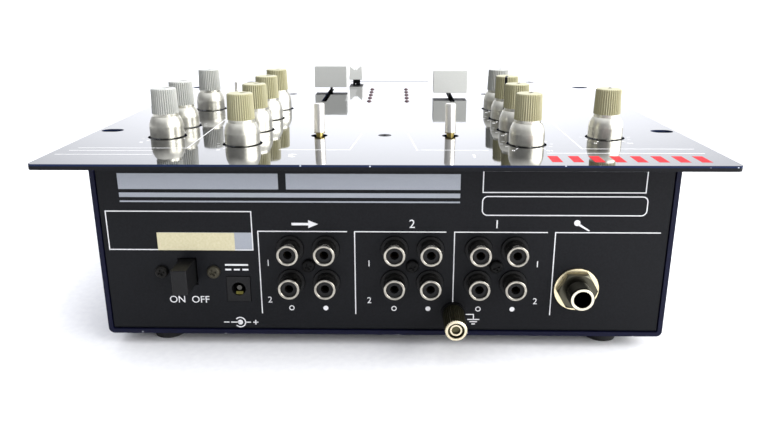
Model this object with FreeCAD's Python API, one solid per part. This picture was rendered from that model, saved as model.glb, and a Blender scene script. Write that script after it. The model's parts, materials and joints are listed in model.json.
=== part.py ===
import FreeCAD, Part
import math
import os

from FreeCAD import Vector

# A small two-channel DJ mixer, in millimetres.
# The origin is on the floor under the middle of the plate, with +Z up.
# The user stands on the -Y side, and the connectors face +Y.

# Top plate: a printed gloss face panel on a steel deck
PLATE_WIDTH = 254.0
PLATE_DEPTH = 274.0
PLATE_CORNER = 2.0
FACE_THICK = 0.8
DECK_THICK = 1.4
MOUNT_SPACING = 146.0
MOUNT_FROM_EDGE = 6.5
MOUNT_SLOT_LENGTH = 9.5
MOUNT_SLOT_WIDTH = 6.5

# Folded case
SIDE_OVERHANG = 15.0
END_OVERHANG = 16.0
CASE_HEIGHT = 72.3
SHELL_THICK = 1.8
SHELL_INNER_BEND = 0.5
LIP_WIDTH = 8.0
PANEL_THICK = 1.2
PANEL_RECESS = 0.4
FLANGE_WIDTH = 10.0
SHEET_GAP = 0.2
RUN_CLEAR = 0.3

# Rubber feet
FOOT_HEIGHT = 5.5
FOOT_D = 14.0
FOOT_DRAFT = 0.8
FOOT_FROM_SIDE = 21.0
FOOT_FROM_END = 12.5
FOOT_RECESS_DEPTH = 2.6
FOOT_RECESS_CLEAR = 0.5

# Machine screws
SCREW_D = 3.0
SCREW_HEAD_D = 5.2
SCREW_HEAD_H = 1.7
SCREW_GRIP = 6.0
SCREW_SHORT_GRIP = 3.0
RECESS_LENGTH = 2.8
RECESS_WIDTH = 0.8
RECESS_DEPTH = 0.6
HEAD_ROUND = 0.9
REAR_SCREW_TURN = 20.0
COUNTERSINK_H = 0.7
PANEL_SCREW_FROM_FOOT = 13.0
LIP_SCREW_SPREAD = 45.0

# Main board and its standoffs, under the deck
BOARD_DROP = 12.0
BOARD_THICK = 1.6
BOARD_MARGIN = 4.0
STANDOFF_D = 6.0
REAR_SCREW_DEPTH = 54.0
MIDDLE_SCREW_DEPTH = 180.0
MIDDLE_SCREW_X = 57.0
FRONT_SCREW_FROM_FRONT = 36.0
FRONT_SCREW_FROM_SIDE = 18.2

# Rotary controls
EQ_X = 57.0
EQ_DEPTH = 36.5
EQ_PITCH = 29.5
OUTER_FROM_SIDE = 20.0
MASTER_DEPTH = 51.0
CUE_MIX_DEPTH = 75.0
CUE_LEVEL_DEPTH = 124.5
MIC_LEVEL_DEPTH = 50.6
KNOB_LIFT = 0.4
KNOB_RING_GAP = 1.0
SKIRT_D = 14.0
SKIRT_TOP_D = 11.2
SKIRT_STRAIGHT = 4.3
SKIRT_HEIGHT = 8.4
SHOULDER_BULGE = 0.2
COLLAR_D = 10.4
COLLAR_HEIGHT = 1.2
CAP_D = 10.9
CAP_TOP_D = 10.3
CAP_HEIGHT = 10.3
CAP_BEVEL = 0.4
FLUTES = 36
FLUTE_DEPTH = 0.3
POINTER_WIDTH = 1.2
POINTER_DEPTH = 0.6
STEM_D = 6.4
STEM_HEIGHT = 6.0
SHAFT_D = 6.0
POT_WIDTH = 11.0
POT_HEIGHT = 8.0
POT_FLOOR = 2.0
BUSHING_D = 9.0
KNOB_MIN_TURN = -150.0
CH1_MID_TURN = 14.0

# Faders
CHANNEL_X = 35.7
CROSS_FROM_FRONT = 34.0
CHANNEL_FROM_CROSS = 64.0
FADER_TRAVEL = 45.0
CH1_FADER_OFFSET = 2.0
LEVER_LENGTH = 4.8
LEVER_THICK = 1.2
SLOT_WIDTH = 2.8
SLOT_END_CLEAR = 1.6
FADER_WIDTH = 11.0
FADER_WALL = 1.2
CARRIAGE_LENGTH = 8.0
CARRIAGE_HEIGHT = 5.0
CARRIAGE_END_CLEAR = 1.0
RAIL_D = 1.8
RAIL_SPREAD = 4.4
FADER_CAP_LIFT = 2.2
FADER_CAP_HEIGHT = 12.7
FADER_CAP_WIDTH = 19.5
FADER_CAP_LENGTH = 10.5
FADER_CAP_DRAFT = 0.5
FADER_CAP_DIP = 2.6
CROSS_CAP_WIDTH = 16.0
CROSS_CAP_LENGTH = 9.0
CROSS_CAP_HEIGHT = 9.0
CAP_INDEX_WIDTH = 1.0
CAP_INDEX_HEIGHT = 0.6
CAP_SOCKET_DEPTH = 6.0

# Toggle switches
INPUT_TOGGLE_X = 27.8
INPUT_TOGGLE_DEPTH = 53.0
SMALL_TOGGLE_FROM_OUTER = 12.0
SMALL_TOGGLE_DEPTH = 132.0
TOGGLE_TILT = 10.0
TOGGLE_PIVOT_DROP = 4.5
TOGGLE_LEVER_D = 4.5
TOGGLE_STEM_D = 3.2
TOGGLE_LEVER_HEIGHT = 13.6
SMALL_LEVER_D = 3.0
SMALL_STEM_D = 2.4
SMALL_LEVER_HEIGHT = 13.0
TOGGLE_SHOULDER = 0.9
TOGGLE_TIP_ROUND = 0.6
TOGGLE_BALL_D = 4.8
TOGGLE_BODY_WIDTH = 8.4
TOGGLE_BODY_LENGTH = 13.0
TOGGLE_HOLE_CLEAR = 0.7

# Level lights
LED_X = 10.5
LED_PITCH = 12.4
LED_COUNT = 5
LED_D = 3.0
LED_FLANGE_D = 3.8
LED_FLANGE_H = 1.0
LED_PROUD = 0.9
LED_LEAD_D = 0.5
LED_LEAD_PITCH = 2.0

# Phono sockets, in blocks of four. Heights are above the underside of the case.
RCA_GROUPS_X = (-44.25, -11.45, 29.45)
RCA_CENTRE_HEIGHT = 29.9
RCA_PITCH = 14.0
RCA_SHELL_D = 8.4
RCA_SHELL_WALL = 1.05
RCA_SHELL_STEP = 0.25
RCA_LIP_ROUND = 0.35
RCA_REACH = 8.3
RCA_COLLAR_D = 10.6
RCA_COLLAR_PROUD = 0.8
RCA_BLOCK_BORDER = 6.4
RCA_BLOCK_DEPTH = 11.0
RCA_CORE_RECESS = 0.9
RCA_BORE_D = 3.4
RCA_CONTACT_WALL = 0.4
RCA_CONTACT_RECESS = 2.5
JACK_BOARD_MARGIN = 3.0

# Quarter inch jacks: microphone at the rear, headphones at the front
MIC_X = -76.2
MIC_HEIGHT = 20.6
MIC_REACH = 11.0
PHONES_X = -76.2
PHONES_HEIGHT = 44.0
PHONES_REACH = 6.0
JACK_SLEEVE_D = 9.2
JACK_BORE_D = 6.5
JACK_NUT_FLATS = 14.0
JACK_NUT_H = 2.6
JACK_WASHER_D = 17.5
JACK_WASHER_H = 1.0
JACK_BODY_WIDTH = 16.0
JACK_BODY_DEPTH = 24.0
JACK_SLEEVE_SEAT = 8.0

# DC power socket
DC_X = 57.7
DC_HEIGHT = 19.7
DC_FACE_WIDTH = 9.3
DC_FACE_HEIGHT = 10.5
DC_FACE_PROUD = 0.3
DC_SHOULDER = 1.2
DC_BODY_DEPTH = 13.0
DC_BORE_D = 5.6
DC_BORE_DEPTH = 9.5
DC_PIN_D = 2.0
DC_PIN_RECESS = 1.5

# Power switch
POWER_X = 77.5
POWER_HEIGHT = 27.0
POWER_SCREW_SPACING = 20.6
BUTTON_WIDTH = 6.0
BUTTON_HEIGHT = 10.0
BUTTON_REACH = 12.0
BUTTON_TRAVEL = 3.5
BUTTON_TAIL = 9.0
BUTTON_ROUND = 0.4
BUTTON_SHOULDER = 0.8
SWITCH_PLATE_THICK = 1.2
SWITCH_PLATE_BORDER = 3.2
SWITCH_WALL = 2.0

# Ground terminal
GROUND_X = -28.0
GROUND_HEIGHT = 9.9
STUD_D = 4.6
STUD_HEAD_D = 7.6
STUD_HEAD_H = 2.0
STUD_CUP_D = 3.4
STUD_CUP_DEPTH = 1.2
STUD_SHORT = 0.7
GROUND_WASHER_D = 9.4
GROUND_WASHER_H = 1.0
THUMB_NUT_D = 8.6
THUMB_NUT_LENGTH = 15.2
THUMB_NUT_CUP_D = 6.4
THUMB_NUT_CUP_DEPTH = 2.2
THUMB_NUT_GROOVES = 30
THUMB_NUT_GROOVE_DEPTH = 0.25
THUMB_NUT_BEVEL = 0.5

# Sizes that follow from the ones above
CASE_WIDTH = PLATE_WIDTH - 2 * SIDE_OVERHANG
CASE_DEPTH = PLATE_DEPTH - 2 * END_OVERHANG
CASE_BOTTOM = FOOT_HEIGHT
FLOOR_TOP = CASE_BOTTOM + SHELL_THICK
DECK_BOTTOM = CASE_BOTTOM + CASE_HEIGHT
DECK_TOP = DECK_BOTTOM + DECK_THICK
PLATE_TOP = DECK_TOP + FACE_THICK
PANEL_OUTER_Y = CASE_DEPTH / 2 - PANEL_RECESS
PANEL_INNER_Y = PANEL_OUTER_Y - PANEL_THICK
BOARD_TOP = DECK_BOTTOM - BOARD_DROP
BOARD_BOTTOM = BOARD_TOP - BOARD_THICK
OUTER_X = CASE_WIDTH / 2 - OUTER_FROM_SIDE
CROSS_Y = -PLATE_DEPTH / 2 + CROSS_FROM_FRONT
CHANNEL_Y = CROSS_Y + CHANNEL_FROM_CROSS
SLOT_LENGTH = FADER_TRAVEL + LEVER_LENGTH + 2 * SLOT_END_CLEAR
CH2_FADER_OFFSET = -FADER_TRAVEL / 2
CROSS_OFFSET = FADER_TRAVEL / 2
SCREW_HOLE_D = SCREW_D + 2 * SHEET_GAP
HEAD_HOLE_D = SCREW_HEAD_D + 2 * SHEET_GAP
TOGGLE_PIVOT_Z = DECK_BOTTOM - TOGGLE_PIVOT_DROP
SKIRT_BOTTOM = PLATE_TOP + KNOB_LIFT
SKIRT_TOP = SKIRT_BOTTOM + SKIRT_HEIGHT
CAP_BOTTOM = SKIRT_TOP + COLLAR_HEIGHT

UP = Vector(0, 0, 1)
DOWN = Vector(0, 0, -1)
REARWARD = Vector(0, 1, 0)


def from_rear(depth):
    """The Y of a place measured forwards from the rear edge of the plate."""
    return PLATE_DEPTH / 2 - depth


def box(x0, x1, y0, y1, z0, z1):
    return Part.makeBox(x1 - x0, y1 - y0, z1 - z0, Vector(x0, y0, z0))


def centred_box(x, y, width, length, z0, z1):
    return box(x - width / 2, x + width / 2, y - length / 2, y + length / 2, z0, z1)


def upright(x, y, diameter, z0, z1):
    """A round bar along Z."""
    return Part.makeCylinder(diameter / 2, z1 - z0, Vector(x, y, z0))


def level(x, z, diameter, y0, y1):
    """A round bar along Y."""
    return Part.makeCylinder(diameter / 2, y1 - y0, Vector(x, y0, z), REARWARD)


def slot(x, y, length, width, z0, z1, along_x):
    """A bar with round ends, lying along X or Y."""
    run = (length - width) / 2
    dx = run if along_x else 0
    dy = 0 if along_x else run
    middle_x = 2 * dx if along_x else width
    middle_y = width if along_x else 2 * dy
    middle = centred_box(x, y, middle_x, middle_y, z0, z1)
    ends = [upright(x + s * dx, y + s * dy, width, z0, z1) for s in (-1, 1)]
    return middle.fuse(ends).removeSplitter()


def revolve(edges):
    """Turn a closed outline in the XZ plane about Z."""
    face = Part.Face(Part.Wire(edges))
    return face.revolve(Vector(0, 0, 0), UP, 360)


def line(a, b):
    return Part.LineSegment(Vector(a[0], 0, a[1]), Vector(b[0], 0, b[1])).toShape()


def arc(a, middle, b):
    points = [Vector(p[0], 0, p[1]) for p in (a, middle, b)]
    return Part.Arc(*points).toShape()


def polyline(points):
    return [line(a, b) for a, b in zip(points, points[1:] + points[:1])]


def placed(shape, position, direction=UP, turn=0.0):
    """A copy turned about its own Z, aimed along a direction and moved into place."""
    copy = shape.copy()
    spin = FreeCAD.Rotation(UP, turn)
    aim = FreeCAD.Rotation(UP, direction)
    copy.Placement = FreeCAD.Placement(position, aim.multiply(spin))
    return copy


def star(count, radius, depth, z):
    """A closed wire with points at the radius and valleys one depth inside it."""
    step = math.pi / count
    points = []
    for i in range(2 * count):
        r = radius if i % 2 == 0 else radius - depth
        points.append(Vector(r * math.cos(i * step), r * math.sin(i * step), z))
    return Part.makePolygon(points + points[:1])


def make_screw(length, head_h=SCREW_HEAD_H, rounded=True):
    """A cross-head screw pointing down, with the underside of its head at the origin."""
    head = upright(0, 0, SCREW_HEAD_D, 0, head_h)
    if rounded:
        top_edge = [e for e in head.Edges if e.BoundBox.ZMin > head_h / 2]
        head = head.makeFillet(HEAD_ROUND, top_edge)
    depth = min(RECESS_DEPTH, head_h / 2)
    bars = [
        centred_box(0, 0, RECESS_LENGTH, RECESS_WIDTH, head_h - depth, head_h),
        centred_box(0, 0, RECESS_WIDTH, RECESS_LENGTH, head_h - depth, head_h),
    ]
    shank = upright(0, 0, SCREW_D, -length, 0)
    return head.cut(bars).fuse(shank).removeSplitter()


def face_screw_places():
    """Screws that show in the face panel and hold the board's standoffs."""
    front_x = CASE_WIDTH / 2 - FRONT_SCREW_FROM_SIDE
    front_y = -PLATE_DEPTH / 2 + FRONT_SCREW_FROM_FRONT
    places = [(0.0, from_rear(REAR_SCREW_DEPTH))]
    for side in (-1, 1):
        places.append((side * MIDDLE_SCREW_X, from_rear(MIDDLE_SCREW_DEPTH)))
        places.append((side * front_x, front_y))
    return places


def flange_screw_places():
    """Screws through the turned-in flanges of the front and rear panels."""
    y = PANEL_INNER_Y - FLANGE_WIDTH / 2
    x = CASE_WIDTH / 2 - FOOT_FROM_SIDE - PANEL_SCREW_FROM_FOOT
    return [(i * x, side * y) for side in (-1, 1) for i in (-1, 0, 1)]


def lip_screw_places():
    """Screws through the turned-in lips of the side walls."""
    x = CASE_WIDTH / 2 - SHELL_THICK - LIP_WIDTH / 2
    return [(i * x, j * LIP_SCREW_SPREAD) for i in (-1, 1) for j in (-1, 1)]


def foot_places():
    x = CASE_WIDTH / 2 - FOOT_FROM_SIDE
    y = CASE_DEPTH / 2 - FOOT_FROM_END
    return [(i * x, j * y) for i in (-1, 1) for j in (-1, 1)]


def mount_places():
    x = PLATE_WIDTH / 2 - MOUNT_FROM_EDGE
    y = MOUNT_SPACING / 2
    return [(i * x, j * y) for i in (-1, 1) for j in (-1, 1)]


def knob_places():
    """Name, X, Y and pointer turn of each knob, clockwise from straight rearward."""
    places = []
    for channel, side in (("ch1", -1), ("ch2", 1)):
        for row, use in enumerate(("gain", "high", "mid", "low")):
            y = from_rear(EQ_DEPTH + row * EQ_PITCH)
            places.append((channel + "_" + use, side * EQ_X, y, KNOB_MIN_TURN))
    outer = (("master", MASTER_DEPTH), ("cue_mix", CUE_MIX_DEPTH), ("cue_level", CUE_LEVEL_DEPTH))
    for use, depth in outer:
        places.append((use, OUTER_X, from_rear(depth), KNOB_MIN_TURN))
    places.append(("mic_level", -OUTER_X, from_rear(MIC_LEVEL_DEPTH), KNOB_MIN_TURN))
    turned = {"ch1_mid": CH1_MID_TURN}
    return [(name, x, y, turned.get(name, turn)) for name, x, y, turn in places]


def toggle_places():
    """Name, X, Y, lever diameter, stem diameter and lever height of each toggle switch."""
    y = from_rear(INPUT_TOGGLE_DEPTH)
    large = (TOGGLE_LEVER_D, TOGGLE_STEM_D, TOGGLE_LEVER_HEIGHT)
    small = (SMALL_LEVER_D, SMALL_STEM_D, SMALL_LEVER_HEIGHT)
    small_x = OUTER_X - SMALL_TOGGLE_FROM_OUTER
    return [
        ("input_toggle_ch1", -INPUT_TOGGLE_X, y) + large,
        ("input_toggle_ch2", INPUT_TOGGLE_X, y) + large,
        ("cue_toggle", small_x, from_rear(SMALL_TOGGLE_DEPTH)) + small,
    ]


def fader_places():
    """Name, X, Y, rest offset along the travel, and whether the travel is along X."""
    return [
        ("ch1_fader", -CHANNEL_X, CHANNEL_Y, CH1_FADER_OFFSET, False),
        ("ch2_fader", CHANNEL_X, CHANNEL_Y, CH2_FADER_OFFSET, False),
        ("crossfader", 0.0, CROSS_Y, CROSS_OFFSET, True),
    ]


def led_places():
    first = -(LED_COUNT - 1) / 2
    rows = [CHANNEL_Y + (first + i) * LED_PITCH for i in range(LED_COUNT)]
    return [(side * LED_X, y) for side in (-1, 1) for y in rows]


def rca_places():
    """Centres of the twelve phono sockets, grouped in fours."""
    z = CASE_BOTTOM + RCA_CENTRE_HEIGHT
    half = RCA_PITCH / 2
    groups = []
    for x in RCA_GROUPS_X:
        groups.append([(x + i * half, z + j * half) for i in (-1, 1) for j in (-1, 1)])
    return groups


def toggle_reach(stem_d, height):
    """How far a tilted stem comes from its axis at a height above the pivot."""
    tilt = math.radians(TOGGLE_TILT)
    return height * math.tan(tilt) + stem_d / 2 / math.cos(tilt)


def plate_sheet(z0, z1):
    sheet = centred_box(0, 0, PLATE_WIDTH, PLATE_DEPTH, z0, z1)
    corners = [e for e in sheet.Edges if e.BoundBox.ZLength > (z1 - z0) / 2]
    return sheet.makeFillet(PLATE_CORNER, corners)


def shared_plate_holes(z0, z1):
    """Holes of one size through both sheets of the plate."""
    tools = []
    for x, y in mount_places():
        tools.append(slot(x, y, MOUNT_SLOT_LENGTH, MOUNT_SLOT_WIDTH, z0, z1, True))
    for _, x, y, _, along_x in fader_places():
        tools.append(slot(x, y, SLOT_LENGTH, SLOT_WIDTH, z0, z1, along_x))
    for _, x, y, _, stem_d, _ in toggle_places():
        reach = toggle_reach(stem_d, PLATE_TOP - TOGGLE_PIVOT_Z)
        tools.append(upright(x, y, 2 * (reach + TOGGLE_HOLE_CLEAR), z0, z1))
    for x, y in led_places():
        tools.append(upright(x, y, LED_D + SHEET_GAP, z0, z1))
    return tools


def make_face_panel():
    tools = shared_plate_holes(DECK_TOP, PLATE_TOP)
    for _, x, y, _ in knob_places():
        tools.append(upright(x, y, SKIRT_D + 2 * KNOB_RING_GAP, DECK_TOP, PLATE_TOP))
    for x, y in face_screw_places():
        tools.append(upright(x, y, HEAD_HOLE_D, DECK_TOP, PLATE_TOP))
    return plate_sheet(DECK_TOP, PLATE_TOP).cut(tools)


def make_top_deck():
    tools = shared_plate_holes(DECK_BOTTOM, DECK_TOP)
    for _, x, y, _ in knob_places():
        tools.append(upright(x, y, BUSHING_D + 2 * SHEET_GAP, DECK_BOTTOM, DECK_TOP))
    hidden = flange_screw_places() + lip_screw_places()
    for x, y in face_screw_places() + hidden:
        tools.append(upright(x, y, SCREW_HOLE_D, DECK_BOTTOM, DECK_TOP))
    for x, y in hidden:
        tools.append(upright(x, y, HEAD_HOLE_D, DECK_TOP - COUNTERSINK_H, DECK_TOP))
    return plate_sheet(DECK_BOTTOM, DECK_TOP).cut(tools)


def make_base_shell():
    """Floor, two walls and their lips, folded from one sheet."""
    half_width = CASE_WIDTH / 2
    half_depth = CASE_DEPTH / 2
    block = box(-half_width, half_width, -half_depth, half_depth, CASE_BOTTOM, DECK_BOTTOM)
    long_edges = [e for e in block.Edges if e.BoundBox.YLength > half_depth]
    block = block.makeFillet(SHELL_INNER_BEND + SHELL_THICK, long_edges)
    inside = half_width - SHELL_THICK
    hollow = box(-inside, inside, -half_depth, half_depth, FLOOR_TOP, DECK_BOTTOM - SHELL_THICK)
    long_edges = [e for e in hollow.Edges if e.BoundBox.YLength > half_depth]
    hollow = hollow.makeFillet(SHELL_INNER_BEND, long_edges)
    mouth = inside - LIP_WIDTH
    opening = box(-mouth, mouth, -half_depth, half_depth, FLOOR_TOP + CASE_HEIGHT / 2, DECK_BOTTOM)
    tools = [hollow, opening]
    # The lips stop short of the panel flanges at both ends.
    lip_end = PANEL_INNER_Y - FLANGE_WIDTH - SHEET_GAP
    lip_bottom = DECK_BOTTOM - SHELL_THICK - SHELL_INNER_BEND
    for side in (-1, 1):
        y0, y1 = sorted((side * lip_end, side * half_depth))
        tools.append(box(-inside, inside, y0, y1, lip_bottom, DECK_BOTTOM))
    for x, y in foot_places() + flange_screw_places():
        tools.append(upright(x, y, SCREW_HOLE_D, CASE_BOTTOM, FLOOR_TOP))
    for x, y in lip_screw_places():
        tools.append(upright(x, y, SCREW_HOLE_D, lip_bottom, DECK_BOTTOM))
    return block.cut(tools)


def panel_blank():
    """A flat panel at the rear end with flanges turned in at its top and bottom."""
    half = CASE_WIDTH / 2 - SHELL_THICK - SHELL_INNER_BEND
    inner_end = PANEL_INNER_Y - FLANGE_WIDTH
    block = box(-half, half, inner_end, PANEL_OUTER_Y, FLOOR_TOP, DECK_BOTTOM)
    outer_edges = [
        e for e in block.Edges
        if e.BoundBox.XLength > half and e.BoundBox.YMin > PANEL_INNER_Y
    ]
    block = block.makeFillet(PANEL_THICK, outer_edges)
    channel = box(-half, half, inner_end, PANEL_INNER_Y, FLOOR_TOP + PANEL_THICK, DECK_BOTTOM - PANEL_THICK)
    tools = [channel]
    for x, y in flange_screw_places():
        if y > 0:
            tools.append(upright(x, y, SCREW_HOLE_D, FLOOR_TOP, DECK_BOTTOM))
    # The lower flange is notched where a foot screw comes up beside it.
    for x, y in foot_places():
        if y > 0:
            tools.append(upright(x, y, HEAD_HOLE_D, FLOOR_TOP, FLOOR_TOP + PANEL_THICK))
    return block.cut(tools)


def panel_hole(x, z, diameter):
    return level(x, z, diameter, PANEL_INNER_Y, PANEL_OUTER_Y)


def rear_screw_places():
    """Screws that hold the phono blocks and the power switch to the rear panel."""
    rca_z = CASE_BOTTOM + RCA_CENTRE_HEIGHT
    power_z = CASE_BOTTOM + POWER_HEIGHT
    places = [(x, rca_z) for x in RCA_GROUPS_X]
    places += [(POWER_X + side * POWER_SCREW_SPACING / 2, power_z) for side in (-1, 1)]
    return places


def make_rear_panel():
    tools = []
    for group in rca_places():
        tools += [panel_hole(x, z, RCA_COLLAR_D + 2 * SHEET_GAP) for x, z in group]
    tools += [panel_hole(x, z, SCREW_HOLE_D) for x, z in rear_screw_places()]
    tools.append(panel_hole(MIC_X, CASE_BOTTOM + MIC_HEIGHT, JACK_SLEEVE_D + 2 * SHEET_GAP))
    tools.append(panel_hole(GROUND_X, CASE_BOTTOM + GROUND_HEIGHT, STUD_D + 2 * SHEET_GAP))
    tools.append(dc_prism(SHEET_GAP, PANEL_INNER_Y, PANEL_OUTER_Y))
    tools.append(button_prism(BUTTON_SHOULDER, PANEL_INNER_Y, PANEL_OUTER_Y))
    return panel_blank().cut(tools)


def make_front_panel():
    blank = panel_blank()
    hole = panel_hole(-PHONES_X, CASE_BOTTOM + PHONES_HEIGHT, JACK_SLEEVE_D + 2 * SHEET_GAP)
    return half_turn(blank.cut(hole))


def half_turn(shape):
    """The same shape at the other end of the case."""
    return shape.rotated(Vector(0, 0, 0), UP, 180)


def make_rubber_feet():
    feet = []
    for x, y in foot_places():
        body = Part.makeCone(FOOT_D / 2 - FOOT_DRAFT, FOOT_D / 2, FOOT_HEIGHT, Vector(x, y, 0))
        recess = upright(x, y, SCREW_HEAD_D + 2 * FOOT_RECESS_CLEAR, 0, FOOT_RECESS_DEPTH)
        hole = upright(x, y, SCREW_HOLE_D, 0, FOOT_HEIGHT)
        feet.append(body.cut([recess, hole]))
    return Part.makeCompound(feet)


def make_case_screws():
    screws = []
    face_screw = make_screw(DECK_THICK + SCREW_SHORT_GRIP, FACE_THICK, rounded=False)
    for x, y in face_screw_places():
        screws.append(placed(face_screw, Vector(x, y, DECK_TOP)))
    hidden_length = DECK_THICK - COUNTERSINK_H + SHELL_THICK + PANEL_THICK
    hidden_screw = make_screw(hidden_length, COUNTERSINK_H, rounded=False)
    for x, y in flange_screw_places() + lip_screw_places():
        screws.append(placed(hidden_screw, Vector(x, y, DECK_TOP - COUNTERSINK_H)))
    board_screw = make_screw(BOARD_THICK + SCREW_SHORT_GRIP)
    for x, y in face_screw_places():
        screws.append(placed(board_screw, Vector(x, y, BOARD_BOTTOM), DOWN))
    floor_screw = make_screw(SHELL_THICK + PANEL_THICK + SCREW_SHORT_GRIP)
    for x, y in flange_screw_places():
        screws.append(placed(floor_screw, Vector(x, y, CASE_BOTTOM), DOWN))
    foot_screw = make_screw(FOOT_HEIGHT - FOOT_RECESS_DEPTH + SHELL_THICK + SCREW_SHORT_GRIP)
    for x, y in foot_places():
        screws.append(placed(foot_screw, Vector(x, y, FOOT_RECESS_DEPTH), DOWN))
    rear_screw = make_screw(PANEL_THICK + SCREW_GRIP)
    for x, z in rear_screw_places():
        screws.append(placed(rear_screw, Vector(x, PANEL_OUTER_Y, z), REARWARD, REAR_SCREW_TURN))
    return Part.makeCompound(screws)


def make_main_board():
    half_width = CASE_WIDTH / 2 - SHELL_THICK - BOARD_MARGIN
    half_depth = PANEL_INNER_Y - BOARD_MARGIN
    board = box(-half_width, half_width, -half_depth, half_depth, BOARD_BOTTOM, BOARD_TOP)
    holes = [upright(x, y, SCREW_HOLE_D, BOARD_BOTTOM, BOARD_TOP) for x, y in face_screw_places()]
    return board.cut(holes)


def make_board_standoffs():
    standoffs = []
    for x, y in face_screw_places():
        post = upright(x, y, STANDOFF_D, BOARD_TOP, DECK_BOTTOM)
        standoffs.append(post.cut(upright(x, y, SCREW_D, BOARD_TOP, DECK_BOTTOM)))
    return Part.makeCompound(standoffs)


def make_pot_bodies():
    pots = []
    for _, x, y, _ in knob_places():
        body = centred_box(x, y, POT_WIDTH, POT_WIDTH, BOARD_TOP, BOARD_TOP + POT_HEIGHT)
        bushing = upright(x, y, BUSHING_D, BOARD_TOP + POT_HEIGHT, DECK_TOP)
        bore = upright(x, y, SHAFT_D + 2 * RUN_CLEAR, BOARD_TOP + POT_FLOOR, DECK_TOP)
        pots.append(body.fuse(bushing).cut(bore))
    return Part.makeCompound(pots)


def make_knob_skirt():
    """Skirt, collar, stem for the cap and shaft, standing on the knob's own axis."""
    foot = SKIRT_BOTTOM
    bend = foot + SKIRT_STRAIGHT
    outer = SKIRT_D / 2
    top = SKIRT_TOP_D / 2
    middle = ((outer + top) / 2 + SHOULDER_BULGE, (bend + SKIRT_TOP) / 2 + SHOULDER_BULGE)
    collar = COLLAR_D / 2
    stem_top = CAP_BOTTOM + STEM_HEIGHT
    shaft_foot = BOARD_TOP + POT_FLOOR + RUN_CLEAR
    edges = [
        line((0, shaft_foot), (SHAFT_D / 2, shaft_foot)),
        line((SHAFT_D / 2, shaft_foot), (SHAFT_D / 2, foot)),
        line((SHAFT_D / 2, foot), (outer, foot)),
        line((outer, foot), (outer, bend)),
        arc((outer, bend), middle, (top, SKIRT_TOP)),
        line((top, SKIRT_TOP), (collar, SKIRT_TOP)),
        line((collar, SKIRT_TOP), (collar, CAP_BOTTOM)),
        line((collar, CAP_BOTTOM), (STEM_D / 2, CAP_BOTTOM)),
        line((STEM_D / 2, CAP_BOTTOM), (STEM_D / 2, stem_top)),
        line((STEM_D / 2, stem_top), (0, stem_top)),
        line((0, stem_top), (0, shaft_foot)),
    ]
    return revolve(edges)


def make_knob_cap():
    """A fluted cap with its pointer groove towards the rear."""
    top = CAP_BOTTOM + CAP_HEIGHT
    wires = [star(FLUTES, CAP_D / 2, FLUTE_DEPTH, CAP_BOTTOM), star(FLUTES, CAP_TOP_D / 2, FLUTE_DEPTH, top)]
    fluted = Part.makeLoft(wires, True, True)
    rim = CAP_TOP_D / 2
    envelope = revolve(polyline([
        (0, CAP_BOTTOM),
        (CAP_D, CAP_BOTTOM),
        (CAP_D, top + rim - CAP_BEVEL - CAP_D),
        (rim - CAP_BEVEL, top),
        (0, top),
    ]))
    cap = fluted.common(envelope)
    socket = upright(0, 0, STEM_D, CAP_BOTTOM, CAP_BOTTOM + STEM_HEIGHT)
    half = POINTER_WIDTH / 2
    groove_foot = CAP_D / 2 - FLUTE_DEPTH - POINTER_DEPTH
    side_groove = box(-half, half, groove_foot, CAP_D, CAP_BOTTOM, top)
    top_groove = box(-half, half, 0, CAP_D, top - POINTER_DEPTH, top)
    return cap.cut([socket, side_groove, top_groove])


def make_fader_frame():
    """An open-topped box under the slot, with the travel along Y and the slot at the origin."""
    length = FADER_TRAVEL + CARRIAGE_LENGTH + 2 * CARRIAGE_END_CLEAR
    outer = centred_box(0, 0, FADER_WIDTH, length + 2 * FADER_WALL, BOARD_TOP, DECK_BOTTOM)
    inner_width = FADER_WIDTH - 2 * FADER_WALL
    inner = centred_box(0, 0, inner_width, length, BOARD_TOP + FADER_WALL, DECK_BOTTOM)
    return outer.cut([inner] + make_fader_rails())


def rail_height():
    return (BOARD_TOP + FADER_WALL + DECK_BOTTOM) / 2


def rail_bars(diameter, length):
    z = rail_height()
    return [level(side * RAIL_SPREAD / 2, z, diameter, -length / 2, length / 2) for side in (-1, 1)]


def make_fader_rails():
    length = FADER_TRAVEL + CARRIAGE_LENGTH + 2 * CARRIAGE_END_CLEAR + 2 * FADER_WALL
    return rail_bars(RAIL_D, length)


def make_fader_carriage(cap_height):
    """The block that runs on the rails, with the lever that comes up through the slot."""
    width = FADER_WIDTH - 2 * FADER_WALL - 2 * RUN_CLEAR
    z = rail_height()
    block = centred_box(0, 0, width, CARRIAGE_LENGTH, z - CARRIAGE_HEIGHT / 2, z + CARRIAGE_HEIGHT / 2)
    block = block.cut(rail_bars(RAIL_D + 2 * RUN_CLEAR, CARRIAGE_LENGTH))
    socket_depth = min(CAP_SOCKET_DEPTH, cap_height / 2)
    lever_top = PLATE_TOP + FADER_CAP_LIFT + socket_depth
    lever = centred_box(0, 0, LEVER_THICK, LEVER_LENGTH, z + CARRIAGE_HEIGHT / 2, lever_top)
    return block.fuse(lever).removeSplitter()


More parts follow.
